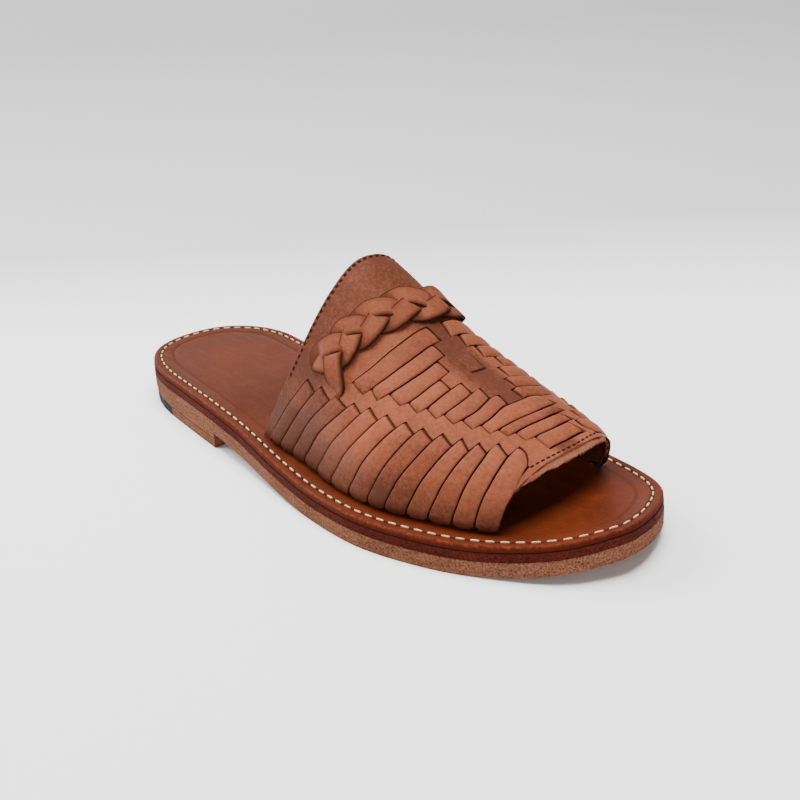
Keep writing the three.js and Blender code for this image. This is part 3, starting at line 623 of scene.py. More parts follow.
def footbed_leather():
    """Polished insole leather: red-brown, darker at the rim, with faint scuffs. Towards the toe its deep
    tone darkens as painted shade under the vamp, and its light tone grows a little lighter.
    """
    finish = Finish("footbed_leather", Specular_IOR_Level=0.14, Specular_Tint=WARM_GLOSS)
    axes = finish.new("ShaderNodeSeparateXYZ", {"Vector": finish.coordinates}).outputs
    toward_toe = finish.ranged(axes["X"], -0.02, 0.11)
    blotch = finish.noise(30, detail=5, roughness=0.6, distortion=0.4)
    # Towards the toe the deep tone darkens: painted shade under the vamp
    light = finish.mixed(toward_toe, hue("50210e"), hue("5a2410"))
    deep = finish.mixed(toward_toe, hue("3e1708"), hue("3a1308"))
    colour = finish.mixed(finish.ranged(blotch, 0.32, 0.68), deep, light)
    # Scuffs along the foot and light flecks
    scuff = finish.noise(1, detail=6, roughness=0.7, where=finish.stretched(60, 420, 60), distortion=0.6)
    colour = finish.mixed(finish.ranged(scuff, 0.56, 0.8, 0, 0.3), colour, hue("80452a"))
    speckle = finish.noise(750, detail=4, roughness=0.7)
    colour = finish.mixed(finish.ranged(speckle, 0.5, 0.75, 0, 0.35), colour, hue("59260f"))
    # Burnished rim, painted shade in the seam's groove and the heel's pressed line, and the raw rim's two
    # flecked tones: fibres of its cut edge, partly a painted highlight on its rounded top
    burnish_and_groove_shade = finish.mark("dark")
    colour = finish.mixed(finish.scaled(burnish_and_groove_shade, 0.8), colour, hue("36110a"))
    rim_fibres_and_highlight = finish.mixed(finish.ranged(speckle, 0.35, 0.65), hue("300d07"), hue("6a2c17"))
    colour = finish.mixed(finish.mark("raw"), colour, rim_fibres_and_highlight)
    rough = finish.ranged(finish.plus(scuff, finish.scaled(blotch, 0.4)), 0.4, 1, 0.38, 0.6)
    rough = finish.plus(rough, finish.scaled(burnish_and_groove_shade, 0.4))
    grain = finish.plus(finish.cells(1500), finish.noise(1900, detail=4, roughness=0.6))
    soft = finish.bump(finish.noise(70, detail=3, roughness=0.5), 0.001, 0.3)
    return finish.connect(
        Base_Color=colour,
        Roughness=rough,
        Normal=finish.bump(grain, 0.00012, 0.5, soft),
    )


def edge_leather(name, light, deep, line, roughness):
    """Cut edge of sole leather: fibres and thin layers that run along the edge."""
    finish = Finish(name, Specular_IOR_Level=0.05, Specular_Tint=WARM_GLOSS)
    layers = finish.noise(1, detail=5, roughness=0.65, where=finish.stretched(70, 70, 924), distortion=0.3)
    along_edge = finish.stretched(520, 520, 1500)
    fibres = finish.noise(1, detail=6, roughness=0.75, where=along_edge, distortion=0.8)
    blotch = finish.noise(45, detail=3, roughness=0.6)
    speckle = finish.noise(1500, detail=3, roughness=0.75)
    tone = finish.ranged(layers, 0.3, 0.7, 0, 0.3)
    tone = finish.plus(tone, finish.ranged(fibres, 0.3, 0.7, 0, 0.2))
    tone = finish.plus(tone, finish.ranged(speckle, 0.36, 0.64, -0.15, 0.75))
    colour = finish.mixed(tone, hue(deep), hue(light))
    colour = finish.mixed(finish.ranged(blotch, 0.45, 0.75, 0, 0.45), colour, hue(deep))
    colour = finish.mixed(finish.scaled(finish.mark("raw"), 0.75), colour, hue(line))
    colour = finish.mixed(finish.scaled(finish.mark("dark"), 0.8), colour, hue("3a120d"))
    height = finish.plus(finish.plus(fibres, speckle), finish.scaled(layers, 0.8))
    return finish.connect(
        Base_Color=colour,
        Roughness=finish.ranged(fibres, 0.3, 0.7, roughness - 0.1, roughness + 0.12),
        Normal=finish.bump(height, 0.0003, 0.8),
    )


def rubber():
    finish = Finish("heel_rubber", Specular_IOR_Level=0.12)
    dust = finish.noise(260, detail=5, roughness=0.7)
    colour = finish.mixed(finish.ranged(dust, 0.45, 0.8), hue("0d0c0c"), hue("2a2725"))
    return finish.connect(
        Base_Color=colour,
        Roughness=finish.ranged(dust, 0.3, 0.7, 0.6, 0.9),
        Normal=finish.bump(finish.noise(1400, detail=4), 0.0001, 0.7),
    )


def thread(name, light, deep):
    """Waxed thread: plies that show as fine slanting grooves."""
    finish = Finish(name, Specular_IOR_Level=0.12, Specular_Tint=WARM_GLOSS)
    plies = finish.noise(1, detail=3, roughness=0.5, where=finish.stretched(2200, 2200, 900), distortion=1.5)
    colour = finish.mixed(finish.ranged(plies, 0.35, 0.65), hue(deep), hue(light))
    return finish.connect(
        Base_Color=colour,
        Roughness=finish.ranged(plies, 0.3, 0.7, 0.55, 0.8),
        Normal=finish.bump(plies, 0.0002, 0.8),
    )


materials = {
    # The strap's lining colour is its own dark leather, made darker still as painted shade
    "strap": strap_leather("strap_leather", light="8b4c35", deep="4e281b", raw="986048", lining="30160d"),
    "braid": strap_leather("braid_leather", light="824631", deep="50291b", raw="8c5840", lining="30160d"),
    "footbed": footbed_leather(),
    "midsole": edge_leather("midsole_leather", "58231b", "200907", line="3c130b", roughness=0.8),
    "outsole": edge_leather("outsole_leather", "8c5d48", "402212", line="8c5c46", roughness=0.85),
    "rubber": rubber(),
    "cream_thread": thread("cream_thread", "e2cfae", "b79c78"),
    "dark_thread_and_hole_shade": thread("dark_thread_and_hole_shade", "2a120a", "120603"),
}


# Layers of the sole: stations from heel tip to toe tip, steps across, and between which
# millimetres from the heel tip the heel's pressed line fades
LAYER_STATIONS = 220
LAYER_ACROSS = 14
HEEL_LINE_TO = (88, 100)

# Rings of the footbed from its lower edge: a round rim, a stitched groove and the heel's line. Each
# has its inset, share of the thickness, lift, lift at the heel alone, and how raw and dark it is.
# Dark is burnish on the rim and painted shade in the groove and the heel's line; raw is the rim's
# fibres, partly a painted highlight on its rounded top
FOOTBED_RINGS = {
    "inset": [
        0.7, 0.42, 0.4, 0.46, 0.66, 1, 1.5, 2.4,
        3.05, 3.3, 3.75, 4.2, 4.5, 5.4,
        8.2, 8.6, 9.1, 9.6, 10.1,
    ],
    "share": [0, 0.1, 0.45, 0.66, 0.84, 0.96] + 13 * [1],
    "lift": 9 * [0] + [-0.2, -0.42, -0.2] + 7 * [0],
    "heel_lift": 15 * [0] + [-0.22, -0.28, -0.22, 0],
    "raw": [0, 0, 0.15, 0.5, 0.9, 0.8, 0.3] + 12 * [0],
    "dark": [
        1, 1, 1, 0.9, 0.5, 0.2, 0.2, 0.2,
        0.25, 0.6, 0.8, 0.6, 0.25, 0,
        0, 0.25, 0.25, 0.25, 0,
    ],
}


def layer_form(under_at, top_at, rings):
    """A layer of the sole: from heel tip to toe tip, a closed profile is carried along x. It goes up
    the inner side by its rings, over to the outer side, down by the same rings and back."""
    rings = {name: np.array(column) for name, column in rings.items()}
    turns = np.pi * np.linspace(0, 1, LAYER_STATIONS)[:, None]
    sides = []
    for sign in (1, -1):
        flat = inset_point(sign * turns, rings["inset"])
        x = flat[..., 0]
        heel_lift = rings["heel_lift"] * (1 - smoothstep(x, *HEEL_LINE_TO))
        z = lerp(under_at(x), top_at(x), rings["share"]) + rings["lift"] + heel_lift
        sides.append(np.concatenate([flat, z[..., None]], -1))
    inner, outer = sides
    shares = np.linspace(0, 1, LAYER_ACROSS + 1)[1:-1, None]
    over = lerp(inner[:, -1:], outer[:, -1:], shares)
    back = lerp(outer[:, :1], inner[:, :1], shares)
    grid = np.concatenate([inner, over, outer[:, ::-1], back], 1)
    faces = grid_faces(*grid.shape[:2], wrap_columns=True)
    points, joined, places = welded(grid.reshape(-1, 3), faces)
    marks = {}
    plain = np.zeros(len(shares))
    for name in ("raw", "dark"):
        profile = np.concatenate([rings[name], plain, rings[name][::-1], plain])
        marks[name] = np.zeros(len(points))
        marks[name][places] = np.tile(profile, LAYER_STATIONS)
    form = Form()
    form.add(points, joined, **marks)
    return form


def plain_layer(under_at, top_at, inset, lower, upper, top_raw=0):
    """Layer with its two corners rounded, each by its own radius."""
    thickness = top_at(0) - under_at(0)
    low = lower / thickness
    high = upper / thickness
    rings = {
        "inset": inset + np.array([lower, 0.3 * lower, 0, 0, 0, 0, 0.15 * upper, upper]),
        "share": [0, 0.3 * low, low, 0.35, 0.6, 1 - 1.6 * high, 1 - 0.5 * high, 1],
        "lift": 0,
        "heel_lift": 0,
        "raw": [0, 0, 0, 0, 0, 0, top_raw, top_raw],
        "dark": [0, 0, 0, 0, 0, 0, 0, 0.2],
    }
    return layer_form(under_at, top_at, rings)


# Seams: steps of the line round the footbed and of those over the vamp, half the way in millimetres
# over which a stitch's direction is taken, and rows and columns of a stitch
RIM_STEPS = 4000
VAMP_SEAM_SAMPLES = 2000
DIRECTION_REACH = 0.5
BEAD_ROWS = 7
BEAD_COLUMNS = 8


def seam_path(inset):
    """Line round the footbed at an even inset from its edge."""
    turns = np.linspace(0, 2 * np.pi, RIM_STEPS + 1)
    flat = inset_point(turns, np.full(len(turns), inset))
    return np.column_stack([flat, footbed_top(flat[:, 0])])


def along_path(path, spacing):
    """Middles and directions of even steps along a path, each about as long as the spacing."""
    distance = path_length(path)
    count = round(distance[-1] / spacing)
    middles = (np.arange(count) + 0.5) * distance[-1] / count

    def path_at(places):
        return np.stack([np.interp(places, distance, path[:, k]) for k in range(3)], -1)

    direction = path_at(middles + DIRECTION_REACH) - path_at(middles - DIRECTION_REACH)
    return path_at(middles), direction / np.linalg.norm(direction, axis=1, keepdims=True)


def add_beads(form, points, direction, up, size, squareness=0.6):
    """Rounded beads: superellipsoids of one size, each turned to its own direction and up."""
    latitude = np.linspace(-np.pi / 2, np.pi / 2, BEAD_ROWS + 2)[1:-1]
    longitude = np.linspace(0, 2 * np.pi, BEAD_COLUMNS, endpoint=False)
    a, b = np.meshgrid(latitude, longitude, indexing="ij")
    x = np.sign(np.sin(a)) * np.abs(np.sin(a)) ** squareness
    ring = np.abs(np.cos(a)) ** squareness
    unit = np.stack([x, ring * np.cos(b), ring * np.sin(b)], -1) * np.array(size) / 2
    side = np.cross(up, direction)
    side /= np.linalg.norm(side, axis=1, keepdims=True)
    for centre, ahead, across, above in zip(points, direction, side, np.cross(direction, side)):
        form.add_tube(centre + unit @ np.stack([ahead, across, above]))


def vertical(count):
    return np.tile([0.0, 0.0, 1.0], (count, 1))


# Vamp: metres of flat leather from collar to toe and over the foot, half a lip beside a bed and
# where the feet end under the footbed, as shares of the way over the foot, and the lip's level as
# a share of the bed's
FLAT_LENGTH = 0.1
FLAT_ROUND = 0.155
LIP_HALF = 0.0012
LIP_SHARE = 0.25
FOOT_ROUND = -0.016

# Columns of the sheet up to the first slit and how far they go, across each strip, and past the last
PLAIN_COLUMNS = 16
PLAIN_REACH = 0.93
STRIP_COLUMNS = 8
FRONT_SHARES = (0.2, 0.4, 0.6)


def vamp_flat(along, around):
    """Place on the leather laid flat, in metres."""
    along, around = np.broadcast_arrays(along, around)
    return np.stack([along * FLAT_LENGTH, around * FLAT_ROUND], -1)


def key_rows(strip, corner, bed):
    """Rows over one column of the sheet: up the outer side, then down the inner one."""
    around, level = half_rows(strip, corner, bed, False)
    inner, inner_level = half_rows(strip, corner, bed, True)
    joined = np.concatenate([around, mirror_round(inner[-2::-1])])
    return joined, np.concatenate([level, inner_level[-2::-1]])


def half_rows(strip, corner, bed, inner):
    """Rows up one side, as shares round and levels: the bed of the side run, the band with its two
    lips, the bed of the top run, and the spine."""
    head, rise, end = strip_lines(strip, corner, inner)
    top = STRIPS["top"][strip]
    side_bed = -BED_DEPTH if bed else 0
    top_bed = side_bed if top != "none" else 0
    spine = side_bed if top == "whole" else 0
    end_lip = top_bed * LIP_SHARE if top == "split" else spine
    # Each stretch runs from one share round to another, in so many rows, and from level to level
    stretches = [
        (FOOT_ROUND, head - LIP_HALF, 18, side_bed, side_bed),
        (head - LIP_HALF / 2, head + LIP_HALF, 3, side_bed * LIP_SHARE, 0),
        (head + 2 * LIP_HALF, rise - 2 * LIP_HALF, 7, 0, 0),
        (rise - LIP_HALF, rise + LIP_HALF / 2, 3, 0, top_bed * LIP_SHARE),
        (rise + LIP_HALF, end - LIP_HALF, 20, top_bed, top_bed),
        (end - LIP_HALF / 2, end + LIP_HALF, 3, end_lip, spine),
        (end + 2 * LIP_HALF, SPINE_AT, 4, spine, spine),
    ]
    around = [np.linspace(low, high, count) for low, high, count, a, b in stretches]
    level = [np.linspace(a, b, count) for low, high, count, a, b in stretches]
    return np.concatenate(around), np.concatenate(level)


def sheet_columns():
    """Columns of the sheet from collar to toe: shares along and round, and levels, each by row."""
    plain, no_level = key_rows(0, 0, False)

    def half_slit(around):
        return BED_HALF_SLIT / vamp_length(around)

    first_edge = slit_along(0, plain) - half_slit(plain)
    columns = [(first_edge * share, plain, no_level) for share in np.linspace(0, PLAIN_REACH, PLAIN_COLUMNS)]
    for slit in range(len(SLITS)):
        last = slit == STRIP_COUNT
        before = key_rows(slit - 1, 1, True) if slit else (plain, no_level)
        after = (before[0], no_level) if last else key_rows(slit, 0, True)
        floor = before if last else after
        columns.append((slit_along(slit, before[0]) - half_slit(before[0]), *before))
        columns.append((slit_along(slit, floor[0]), *floor))
        columns.append((slit_along(slit, after[0]) + half_slit(after[0]), *after))
        for corner in [] if last else np.linspace(0, 1, STRIP_COLUMNS)[1:-1]:
            around, level = key_rows(slit, corner, True)
            start = slit_along(slit, around) + half_slit(around)
            finish = slit_along(slit + 1, around) - half_slit(around)
            columns.append((lerp(start, finish, corner), around, level))
    along, around, level = columns[-1]
    return columns + [(lerp(along, 1, share), around, level) for share in FRONT_SHARES]


# Profile over a cut edge of the wall: back from the edge and level in millimetres, and how raw it is
EDGE_PROFILE = {
    "back": [1.3, 0.5, 0.18, 0.02, 0, 0.1, 0.4, 1.2],
    "level": [0, -0.06, -0.3, -0.7, -1.2, -1.6, -1.9, -WALL_THICKNESS],
    "raw": [0, 0.3, 0.9, 1, 1, 1, 1, 0.6],
}

# Frayed toe edge: waves, each with its size in millimetres, its turn over the foot and its start
FRAY = {"size": [0.22, 0.2], "turn": [610, 1370], "start": [0, 1]}


def edge_columns(around, at_toe):
    """Columns over a cut edge, from the outer face round to the inner one, and back at the collar:
    places along, levels and how raw they are. The toe's edge is frayed by a sum of sines."""
    waves = [size * np.sin(around * turn + start) for size, turn, start in zip(*FRAY.values())]
    wave = sum(waves) if at_toe else 0
    columns = []
    for back, level, raw in zip(*EDGE_PROFILE.values()):
        shift = (back + wave * min(raw * 2, 1)) / vamp_length(around)
        columns.append((1 - shift if at_toe else shift, around, np.full_like(around, level), raw))
    return columns if at_toe else columns[::-1]


# Front of the sheet. On the band it ends in a thin ledge, seen as a raw step. Low on the sides the
# front strip covers it, so it is sunk and pulled back
TOE_BAND = 0.972
TOE_STEPS = {"along": [0, 0.004, 0.006], "level": [0, -0.3, -0.75], "raw": [0, 1, 1]}
TOE_LEDGE_FROM = (0.3, 0.34)
TOE_COVERED_TO = (0.24, 0.3)
TOE_LEDGE = 0.78
TOE_SINK = 1
TOE_STEP_SHIFT = 0.008
TOE_PULL = 0.008

# Shares along the vamp between which the inner face runs back from toe to collar
LINING_SHARES = (0.985, 0.015)

# The sheet's front foot on each side, drawn in under the front strip: the shares over the foot
# where that fades, how far it goes back, up and in, and between which shares along the vamp
TOE_FOOT_TO = (0.01, 0.09)
TOE_FOOT_PULL = 0.012
TOE_FOOT_RISE = 0.035
TOE_FOOT_INNER_RISE = 0.8
TOE_FOOT_SINK = 1.5
TOE_FOOT_PULL_OVER = (0.85, 1)
TOE_FOOT_RISE_OVER = (0.88, 0.96)
TOE_FOOT_SINK_OVER = (0.93, 0.97)

# Marks of the sheet: the rows of the lip where a strip rises, levels below which it is lining, bed
# or a shaded floor, and its tone, darker at the collar and on the spine
RISE_LIP = slice(28, 31)
LINING_BELOW = 0.12 - WALL_THICKNESS
BED_BELOW = -0.2
LIP_ABOVE = -1
BAND_TONE = 0.5
SHADED_TONE = 1.6
COLLAR_SHADE = (0.12, 0.24)
SPINE_SHADE = (0.47, 0.53)


def sheet_ring():
    """Ring of columns round the wall: outer face, toe edge, inner face and collar edge. Gives its
    shares along and round, its levels and how raw it is."""
    outer = sheet_columns()
    around = outer[0][1]
    toe_rows = outer[-1][1]
    ledge = smoothstep(outer_round(toe_rows), *TOE_LEDGE_FROM)
    covered = 1 - smoothstep(outer_round(toe_rows), *TOE_COVERED_TO)
    ring = [(*column, 0) for column in outer[1:]]
    for step, level, raw in zip(*TOE_STEPS.values()):
        sunk = np.minimum(level * ledge, -TOE_SINK * covered)
        ring.append((TOE_BAND + step + TOE_STEP_SHIFT * covered, toe_rows, sunk, raw * ledge))
    for along, rows, level, raw in edge_columns(toe_rows, True):
        sunk = np.minimum(level, -np.maximum(TOE_LEDGE * ledge, TOE_SINK * covered))
        ring.append((along - TOE_PULL * covered, rows, sunk, np.maximum(raw, ledge)))
    for share in np.linspace(*LINING_SHARES, len(ring) - 2):
        inside = np.full_like(around, -WALL_THICKNESS)
        ring.append((np.full_like(around, share), lerp(around, toe_rows, share), inside, 0))
    ring += edge_columns(around, False)
    return [np.stack([column[part] + np.zeros_like(around) for column in ring]) for part in range(4)]


def sheet_form():
    """The vamp's leather as one closed wall: a ring of columns, closed at both feet."""
    along, rounds, level, raw = sheet_ring()
    near_foot = 1 - smoothstep(outer_round(rounds), *TOE_FOOT_TO)
    along = along - TOE_FOOT_PULL * near_foot * smoothstep(along, *TOE_FOOT_PULL_OVER)
    inward = np.where(rounds < SPINE_AT, 1, -TOE_FOOT_INNER_RISE)
    rounds = rounds + TOE_FOOT_RISE * near_foot * smoothstep(along, *TOE_FOOT_RISE_OVER) * inward
    level = np.minimum(level, -TOE_FOOT_SINK * near_foot * smoothstep(along, *TOE_FOOT_SINK_OVER))
    bed = (level < BED_BELOW) & (level > LINING_BELOW) & (raw == 0)
    at_rise = np.zeros(level.shape[1], bool)
    at_rise[RISE_LIP] = True
    at_rise |= at_rise[::-1]
    rise_lip = bed & at_rise & (level > LIP_ABOVE)
    spine = smoothstep(outer_round(rounds), *SPINE_SHADE)
    shaded = np.maximum(1 - smoothstep(along, *COLLAR_SHADE), spine)
    marks = {
        "raw": np.where(rise_lip, 1, raw),
        "lining": np.where(level < LINING_BELOW, 1, 0),
        "dark": np.where(bed & ~rise_lip, 1, 0),
        "tone_and_painted_shade": BAND_TONE - SHADED_TONE * shaded,
    }
    columns, rows = level.shape
    faces = grid_faces(columns, rows, wrap_rows=True).tolist()
    faces.append([i * rows for i in range(columns)])
    faces.append([i * rows + rows - 1 for i in range(columns)][::-1])
    form = Form()
    form.add(on_vamp(along, rounds, level), faces, vamp_flat(along, rounds), **marks)
    return form


# Profile over a strip: place across from -1 to 1, drop below its crown, and how raw and how shaded
# it is. Its first and last places are its two lower corners, which lie on the bed
STRIP_PROFILE = {
    "across": [-0.98, -1, -0.995, -0.975, -0.935, -0.87, -0.5, 0, 0.5, 0.8, 0.91, 0.965, 0.992, 1, 0.98],
    "drop": [0, 0.62, 0.34, 0.14, 0.04, 0, 0, 0, 0, 0, 0.04, 0.14, 0.34, 0.62, 0],
    "raw": [0, 0, 0.2, 1, 0.8, 0, 0, 0, 0, 0, 0, 0.1, 0, 0, 0],
    "dark": [1, 1, 0.9, 0, 0, 0, 0, 0, 0, 0, 0.1, 0.35, 1, 1, 1],
}
strip_profile = np.array(list(STRIP_PROFILE.values()))

# Levels of a strip's lower corners: the bed, or deeper where the strip is too thin above it
STRIP_UNDER = -1.5
STRIP_SIDE_ABOVE = 0.1
STRIP_LEAST = 1

# Runs that show of a strip, by how its top run meets the spine
RUNS = {
    "none": ["outer side", "inner side"],
    "split": ["outer side", "inner side", "outer top", "inner top"],
    "whole": ["outer side", "inner side", "crossing"],
}

# Chance differences of the strips: columns for the side runs, the outer top and the inner top
random = np.random.default_rng(11)
strip_tints = random.uniform(-0.5, 0.5, (STRIP_COUNT, 3))
strip_lifts = random.uniform(-0.1, 0.12, (STRIP_COUNT, 3))
CHANCE_COLUMN = {"outer side": 0, "inner side": 0, "outer top": 1, "crossing": 1, "inner top": 2}

# How far the front strip reaches past the last slit, and the shares over the foot where that fades
OVERHANG = 0.018
OVERHANG_TO = (0.17, 0.33)

# Past the spine a strip takes the inner side's slit and shingling within this share
SPINE_FADE = 0.06

# Foot of a strip: the swell above it, the bend's power, and where it narrows, in millimetres
SWELL_AT = FOOT_LENGTH + 1
SWELL_SPREAD = 3
FOOT_POWER = 1.5
FOOT_NARROW_TO = (1.8, 5.5)

# Tone of the strips, and the painted shade that darkens them low at the feet and near the collar
STRIP_TONE = 0.55
FOOT_PAINTED_SHADE = 1.8
FOOT_PAINTED_SHADE_TO = (0.03, 0.18)
COLLAR_PAINTED_SHADE = 0.9
COLLAR_PAINTED_SHADE_TO = (0.12, 0.45)

# Shaded ends of a run, in millimetres from its head, its foot or its rise, and how raw sides are
HEAD_SHADE = (1, 1.45)
FOOT_SHADE = (1.2, 3.2)
FOOT_SHADE_DEPTH = 0.8
RISE_SHADE = (0.6, 0.95)
STRIP_RAW = 0.8

# Flap of the spine: its middle and half width over the foot, its ends along the vamp, its levels in
# millimetres, the shares of its length over which it rises and drops again, and its marks
TAB_ROUND = 0.5615
TAB_HALF = 0.0265
TAB_ENDS = (0.45, 0.54)
TAB_LIFT = 0.35
TAB_CROWN = 0.05
TAB_UNDER = -0.4
TAB_RISE_OVER = 0.35
TAB_DROP_OVER = 0.04
# The flap is darkened with painted shade, as the spine around it is
TAB_PAINTED_SHADE = -0.8
TAB_RAW = 0.5
TAB_SIDE_SHADE = (0.76, 0.86)
TAB_END_SHADE = (0.9, 0.95)
TAB_STATIONS = 20


def front_overhang(around):
    """How far the front strip reaches past the last slit: low on each side it is the toe's edge."""
    return OVERHANG * (1 - smoothstep(outer_round(around), *OVERHANG_TO))


def run_ends(strip, run, corner):
    """Shares of the way over the foot at which a run of a strip starts and ends."""
    head, rise, end = strip_lines(strip, corner)
    inner_rise = strip_lines(strip, corner, True)[1]
    foot = np.full_like(corner, FOOT_ROUND)
    return {
        "outer side": (foot, head + DIVE_REACH),
        "outer top": (rise - DIVE_REACH, end + DIVE_REACH),
        "crossing": (rise - DIVE_REACH, mirror_round(inner_rise - DIVE_REACH)),
        "inner side": (mirror_round(foot), mirror_round(head + DIVE_REACH)),
        "inner top": (mirror_round(rise - DIVE_REACH), mirror_round(end + DIVE_REACH)),
    }[run]


def strip_crest(rise, on_side, from_low, from_high):
    """Level of a strip's crown: it dives under the band at its head. Its other end dives too, or on
    a side run it swells a little, as a bell curve, and bends in to the foot."""
    dive = 1 - smoothstep(from_high, 0, DIVE_LENGTH)
    if not on_side:
        dive = np.maximum(dive, 1 - smoothstep(from_low, 0, DIVE_LENGTH))
        return rise - (rise + DIVE_DEPTH) * dive
    swell = FOOT_SWELL * np.exp(-(((from_low - SWELL_AT) / SWELL_SPREAD) ** 2))
    foot = 1 - smoothstep(from_low, 0, FOOT_LENGTH)
    return rise + swell - (rise + DIVE_DEPTH) * dive - FOOT_PULL * foot**FOOT_POWER


def add_strip(form, strip, run):
    """One run of a strip, as a rounded profile carried from one end to the other."""
    across, drop, raw, side_dark = strip_profile
    on_side = "side" in run
    share = (1 - np.cos(np.pi * np.linspace(0, 1, STRIP_STATIONS))) / 2
    low, high = run_ends(strip, run, (across + 1) / 2)
    around = lerp(low, high, share[:, None])
    on_inner = smoothstep(around, SPINE_AT, SPINE_AT + SPINE_FADE)
    half = lerp(HALF_SLIT, INNER_HALF_SLIT, on_inner) / vamp_length(around)
    back = slit_along(strip, around) + half
    front = slit_along(strip + 1, around) - half
    if strip == STRIP_COUNT - 1:
        front = front + front_overhang(around)
    middle = around[:, len(across) // 2]
    middle_along = (slit_along(strip, middle) + slit_along(strip + 1, middle)) / 2
    distance = path_length(on_vamp(middle_along, middle, np.zeros(STRIP_STATIONS)))
    from_low = distance[:, None]
    from_high = distance[-1] - from_low
    chance = CHANCE_COLUMN[run]
    crest = strip_crest(STRIP_RISE + strip_lifts[strip, chance], on_side, from_low, from_high)
    narrow = 1 - FOOT_NARROWING * (1 - smoothstep(from_low, *FOOT_NARROW_TO)) ** 2 if on_side else 1
    along = lerp(back, front, (across * narrow + 1) / 2)
    shingle = lerp(STRIP_SHINGLE, INNER_SHINGLE, on_inner)
    level = crest - STRIP_CROWN * across**2 - shingle * across - drop
    level = np.maximum(level, STRIP_UNDER + STRIP_SIDE_ABOVE)
    level[:, [0, -1]] = np.minimum(STRIP_UNDER, crest - STRIP_LEAST)
    tone_and_painted_shade = strip_tints[strip, chance] + STRIP_TONE + np.zeros_like(level)
    end_shade = 1 - smoothstep(from_low, *RISE_SHADE)
    if on_side:
        # Painted shade: side runs darken low towards the foot and near the collar
        tone_and_painted_shade = tone_and_painted_shade - FOOT_PAINTED_SHADE * (1 - smoothstep(outer_round(around), *FOOT_PAINTED_SHADE_TO))
        tone_and_painted_shade = tone_and_painted_shade - COLLAR_PAINTED_SHADE * (1 - smoothstep(along, *COLLAR_PAINTED_SHADE_TO))
        end_shade = FOOT_SHADE_DEPTH * (1 - smoothstep(from_low, *FOOT_SHADE))
    end_shade = np.maximum(end_shade, 1 - smoothstep(from_high, *HEAD_SHADE))
    marks = {
        "raw": np.broadcast_to(STRIP_RAW * raw, level.shape),
        "dark": np.maximum(end_shade, side_dark),
        "tone_and_painted_shade": tone_and_painted_shade,
    }
    form.add_tube(on_vamp(along, around, level), vamp_flat(along, around), **marks)


def add_tab(form):
    """Small flap cut from the spine: it lies a little proud and ends in a square front edge."""
    across, drop, raw, side_dark = strip_profile[:, 1:-1]
    share, across = np.meshgrid(np.linspace(0, 1, TAB_STATIONS), across, indexing="ij")
    around = TAB_ROUND + TAB_HALF * across
    along = lerp(*TAB_ENDS, share)
    rim = TAB_LIFT * (1 - smoothstep(1 - share, 0, TAB_DROP_OVER))
    level = TAB_LIFT * smoothstep(share, 0, TAB_RISE_OVER) - drop - rim - TAB_CROWN * across**2
    edge_shade = np.maximum(smoothstep(across, *TAB_SIDE_SHADE), smoothstep(share, *TAB_END_SHADE))
    marks = {
        "raw": np.broadcast_to(TAB_RAW * raw, level.shape),
        "dark": np.maximum(edge_shade, side_dark),
        "tone_and_painted_shade": TAB_PAINTED_SHADE,
    }
    grid = on_vamp(along, around, np.maximum(level, TAB_UNDER))
    form.add_tube(grid, vamp_flat(along, around), **marks)


def strips_form():
    form = Form()
    add_tab(form)
    for strip, top in enumerate(STRIPS["top"]):
        for run in RUNS[top]:
            add_strip(form, strip, run)
    return form


# Profile round a strand: place across and height from -1 to 1, and how raw it is
STRAND_PROFILE = {
    "across": [-1, -1, -0.985, -0.95, -0.9, -0.83, -0.5, 0, 0.5, 0.86, 0.95, 0.985, 1, 1, 0.9, 0, -0.9],
    "height": [-0.55, 0.1, 0.55, 0.85, 0.95, 1, 1.08, 1.12, 1.08, 1, 0.85, 0.55, 0.1, -0.55, -1, -1, -1],
    "raw": [0, 0, 0, 0, 0, 0.5, 0, 0, 0, 0.3, 0, 0, 0, 0, 0, 0, 0],
}
strand_profile = np.array(list(STRAND_PROFILE.values()))
braid_along = smooth_column(BRAID_LINE["round"], BRAID_LINE["along"])
braid_thirds = smooth_column(BRAID_TURNS["round"], BRAID_TURNS["thirds"])

# Stations of the braid, its height above the leather, and how its ends splay and are tucked in
BRAID_SAMPLES = 900
BRAID_STATIONS = 260
BRAID_ABOVE = 0.2
BRAID_SPLAY_LENGTH = 10
BRAID_TUCK = 1.7
BRAID_TUCK_LENGTH = 6

# Marks of the strands: half a flat strand in metres, tone from strand to strand, and shading at
# the edges and where a strand is under another
FLAT_STRAND_HALF = 0.004
STRAND_TONE = 0.15
STRAND_EDGE_SHADE = (0.8, 0.9)
STRAND_UNDER_SHADE = 0.6


def braid_path():
    """Even stations of the braid's middle line: distances, points, vectors outwards and sideways,
    and shares of the way over the foot."""
    around = np.linspace(BRAID_LINE["round"][0], BRAID_LINE["round"][-1], BRAID_SAMPLES)
    along = braid_along(around)
    centre = on_vamp(along, around, np.zeros_like(around))
    outward = from_table(outward_table, along, around)
    distance = path_length(centre)
    stations = np.linspace(0, distance[-1], BRAID_STATIONS)
    centre = np.stack([np.interp(stations, distance, centre[:, k]) for k in range(3)], -1)
    outward = np.stack([np.interp(stations, distance, outward[:, k]) for k in range(3)], -1)
    outward /= np.linalg.norm(outward, axis=1, keepdims=True)
    heading = np.gradient(centre, axis=0)
    heading /= np.linalg.norm(heading, axis=1, keepdims=True)
    sideways = np.cross(heading, outward)
    sideways *= np.sign(sideways[:, :1])
    return stations, centre, outward, sideways, np.interp(stations, distance, around)


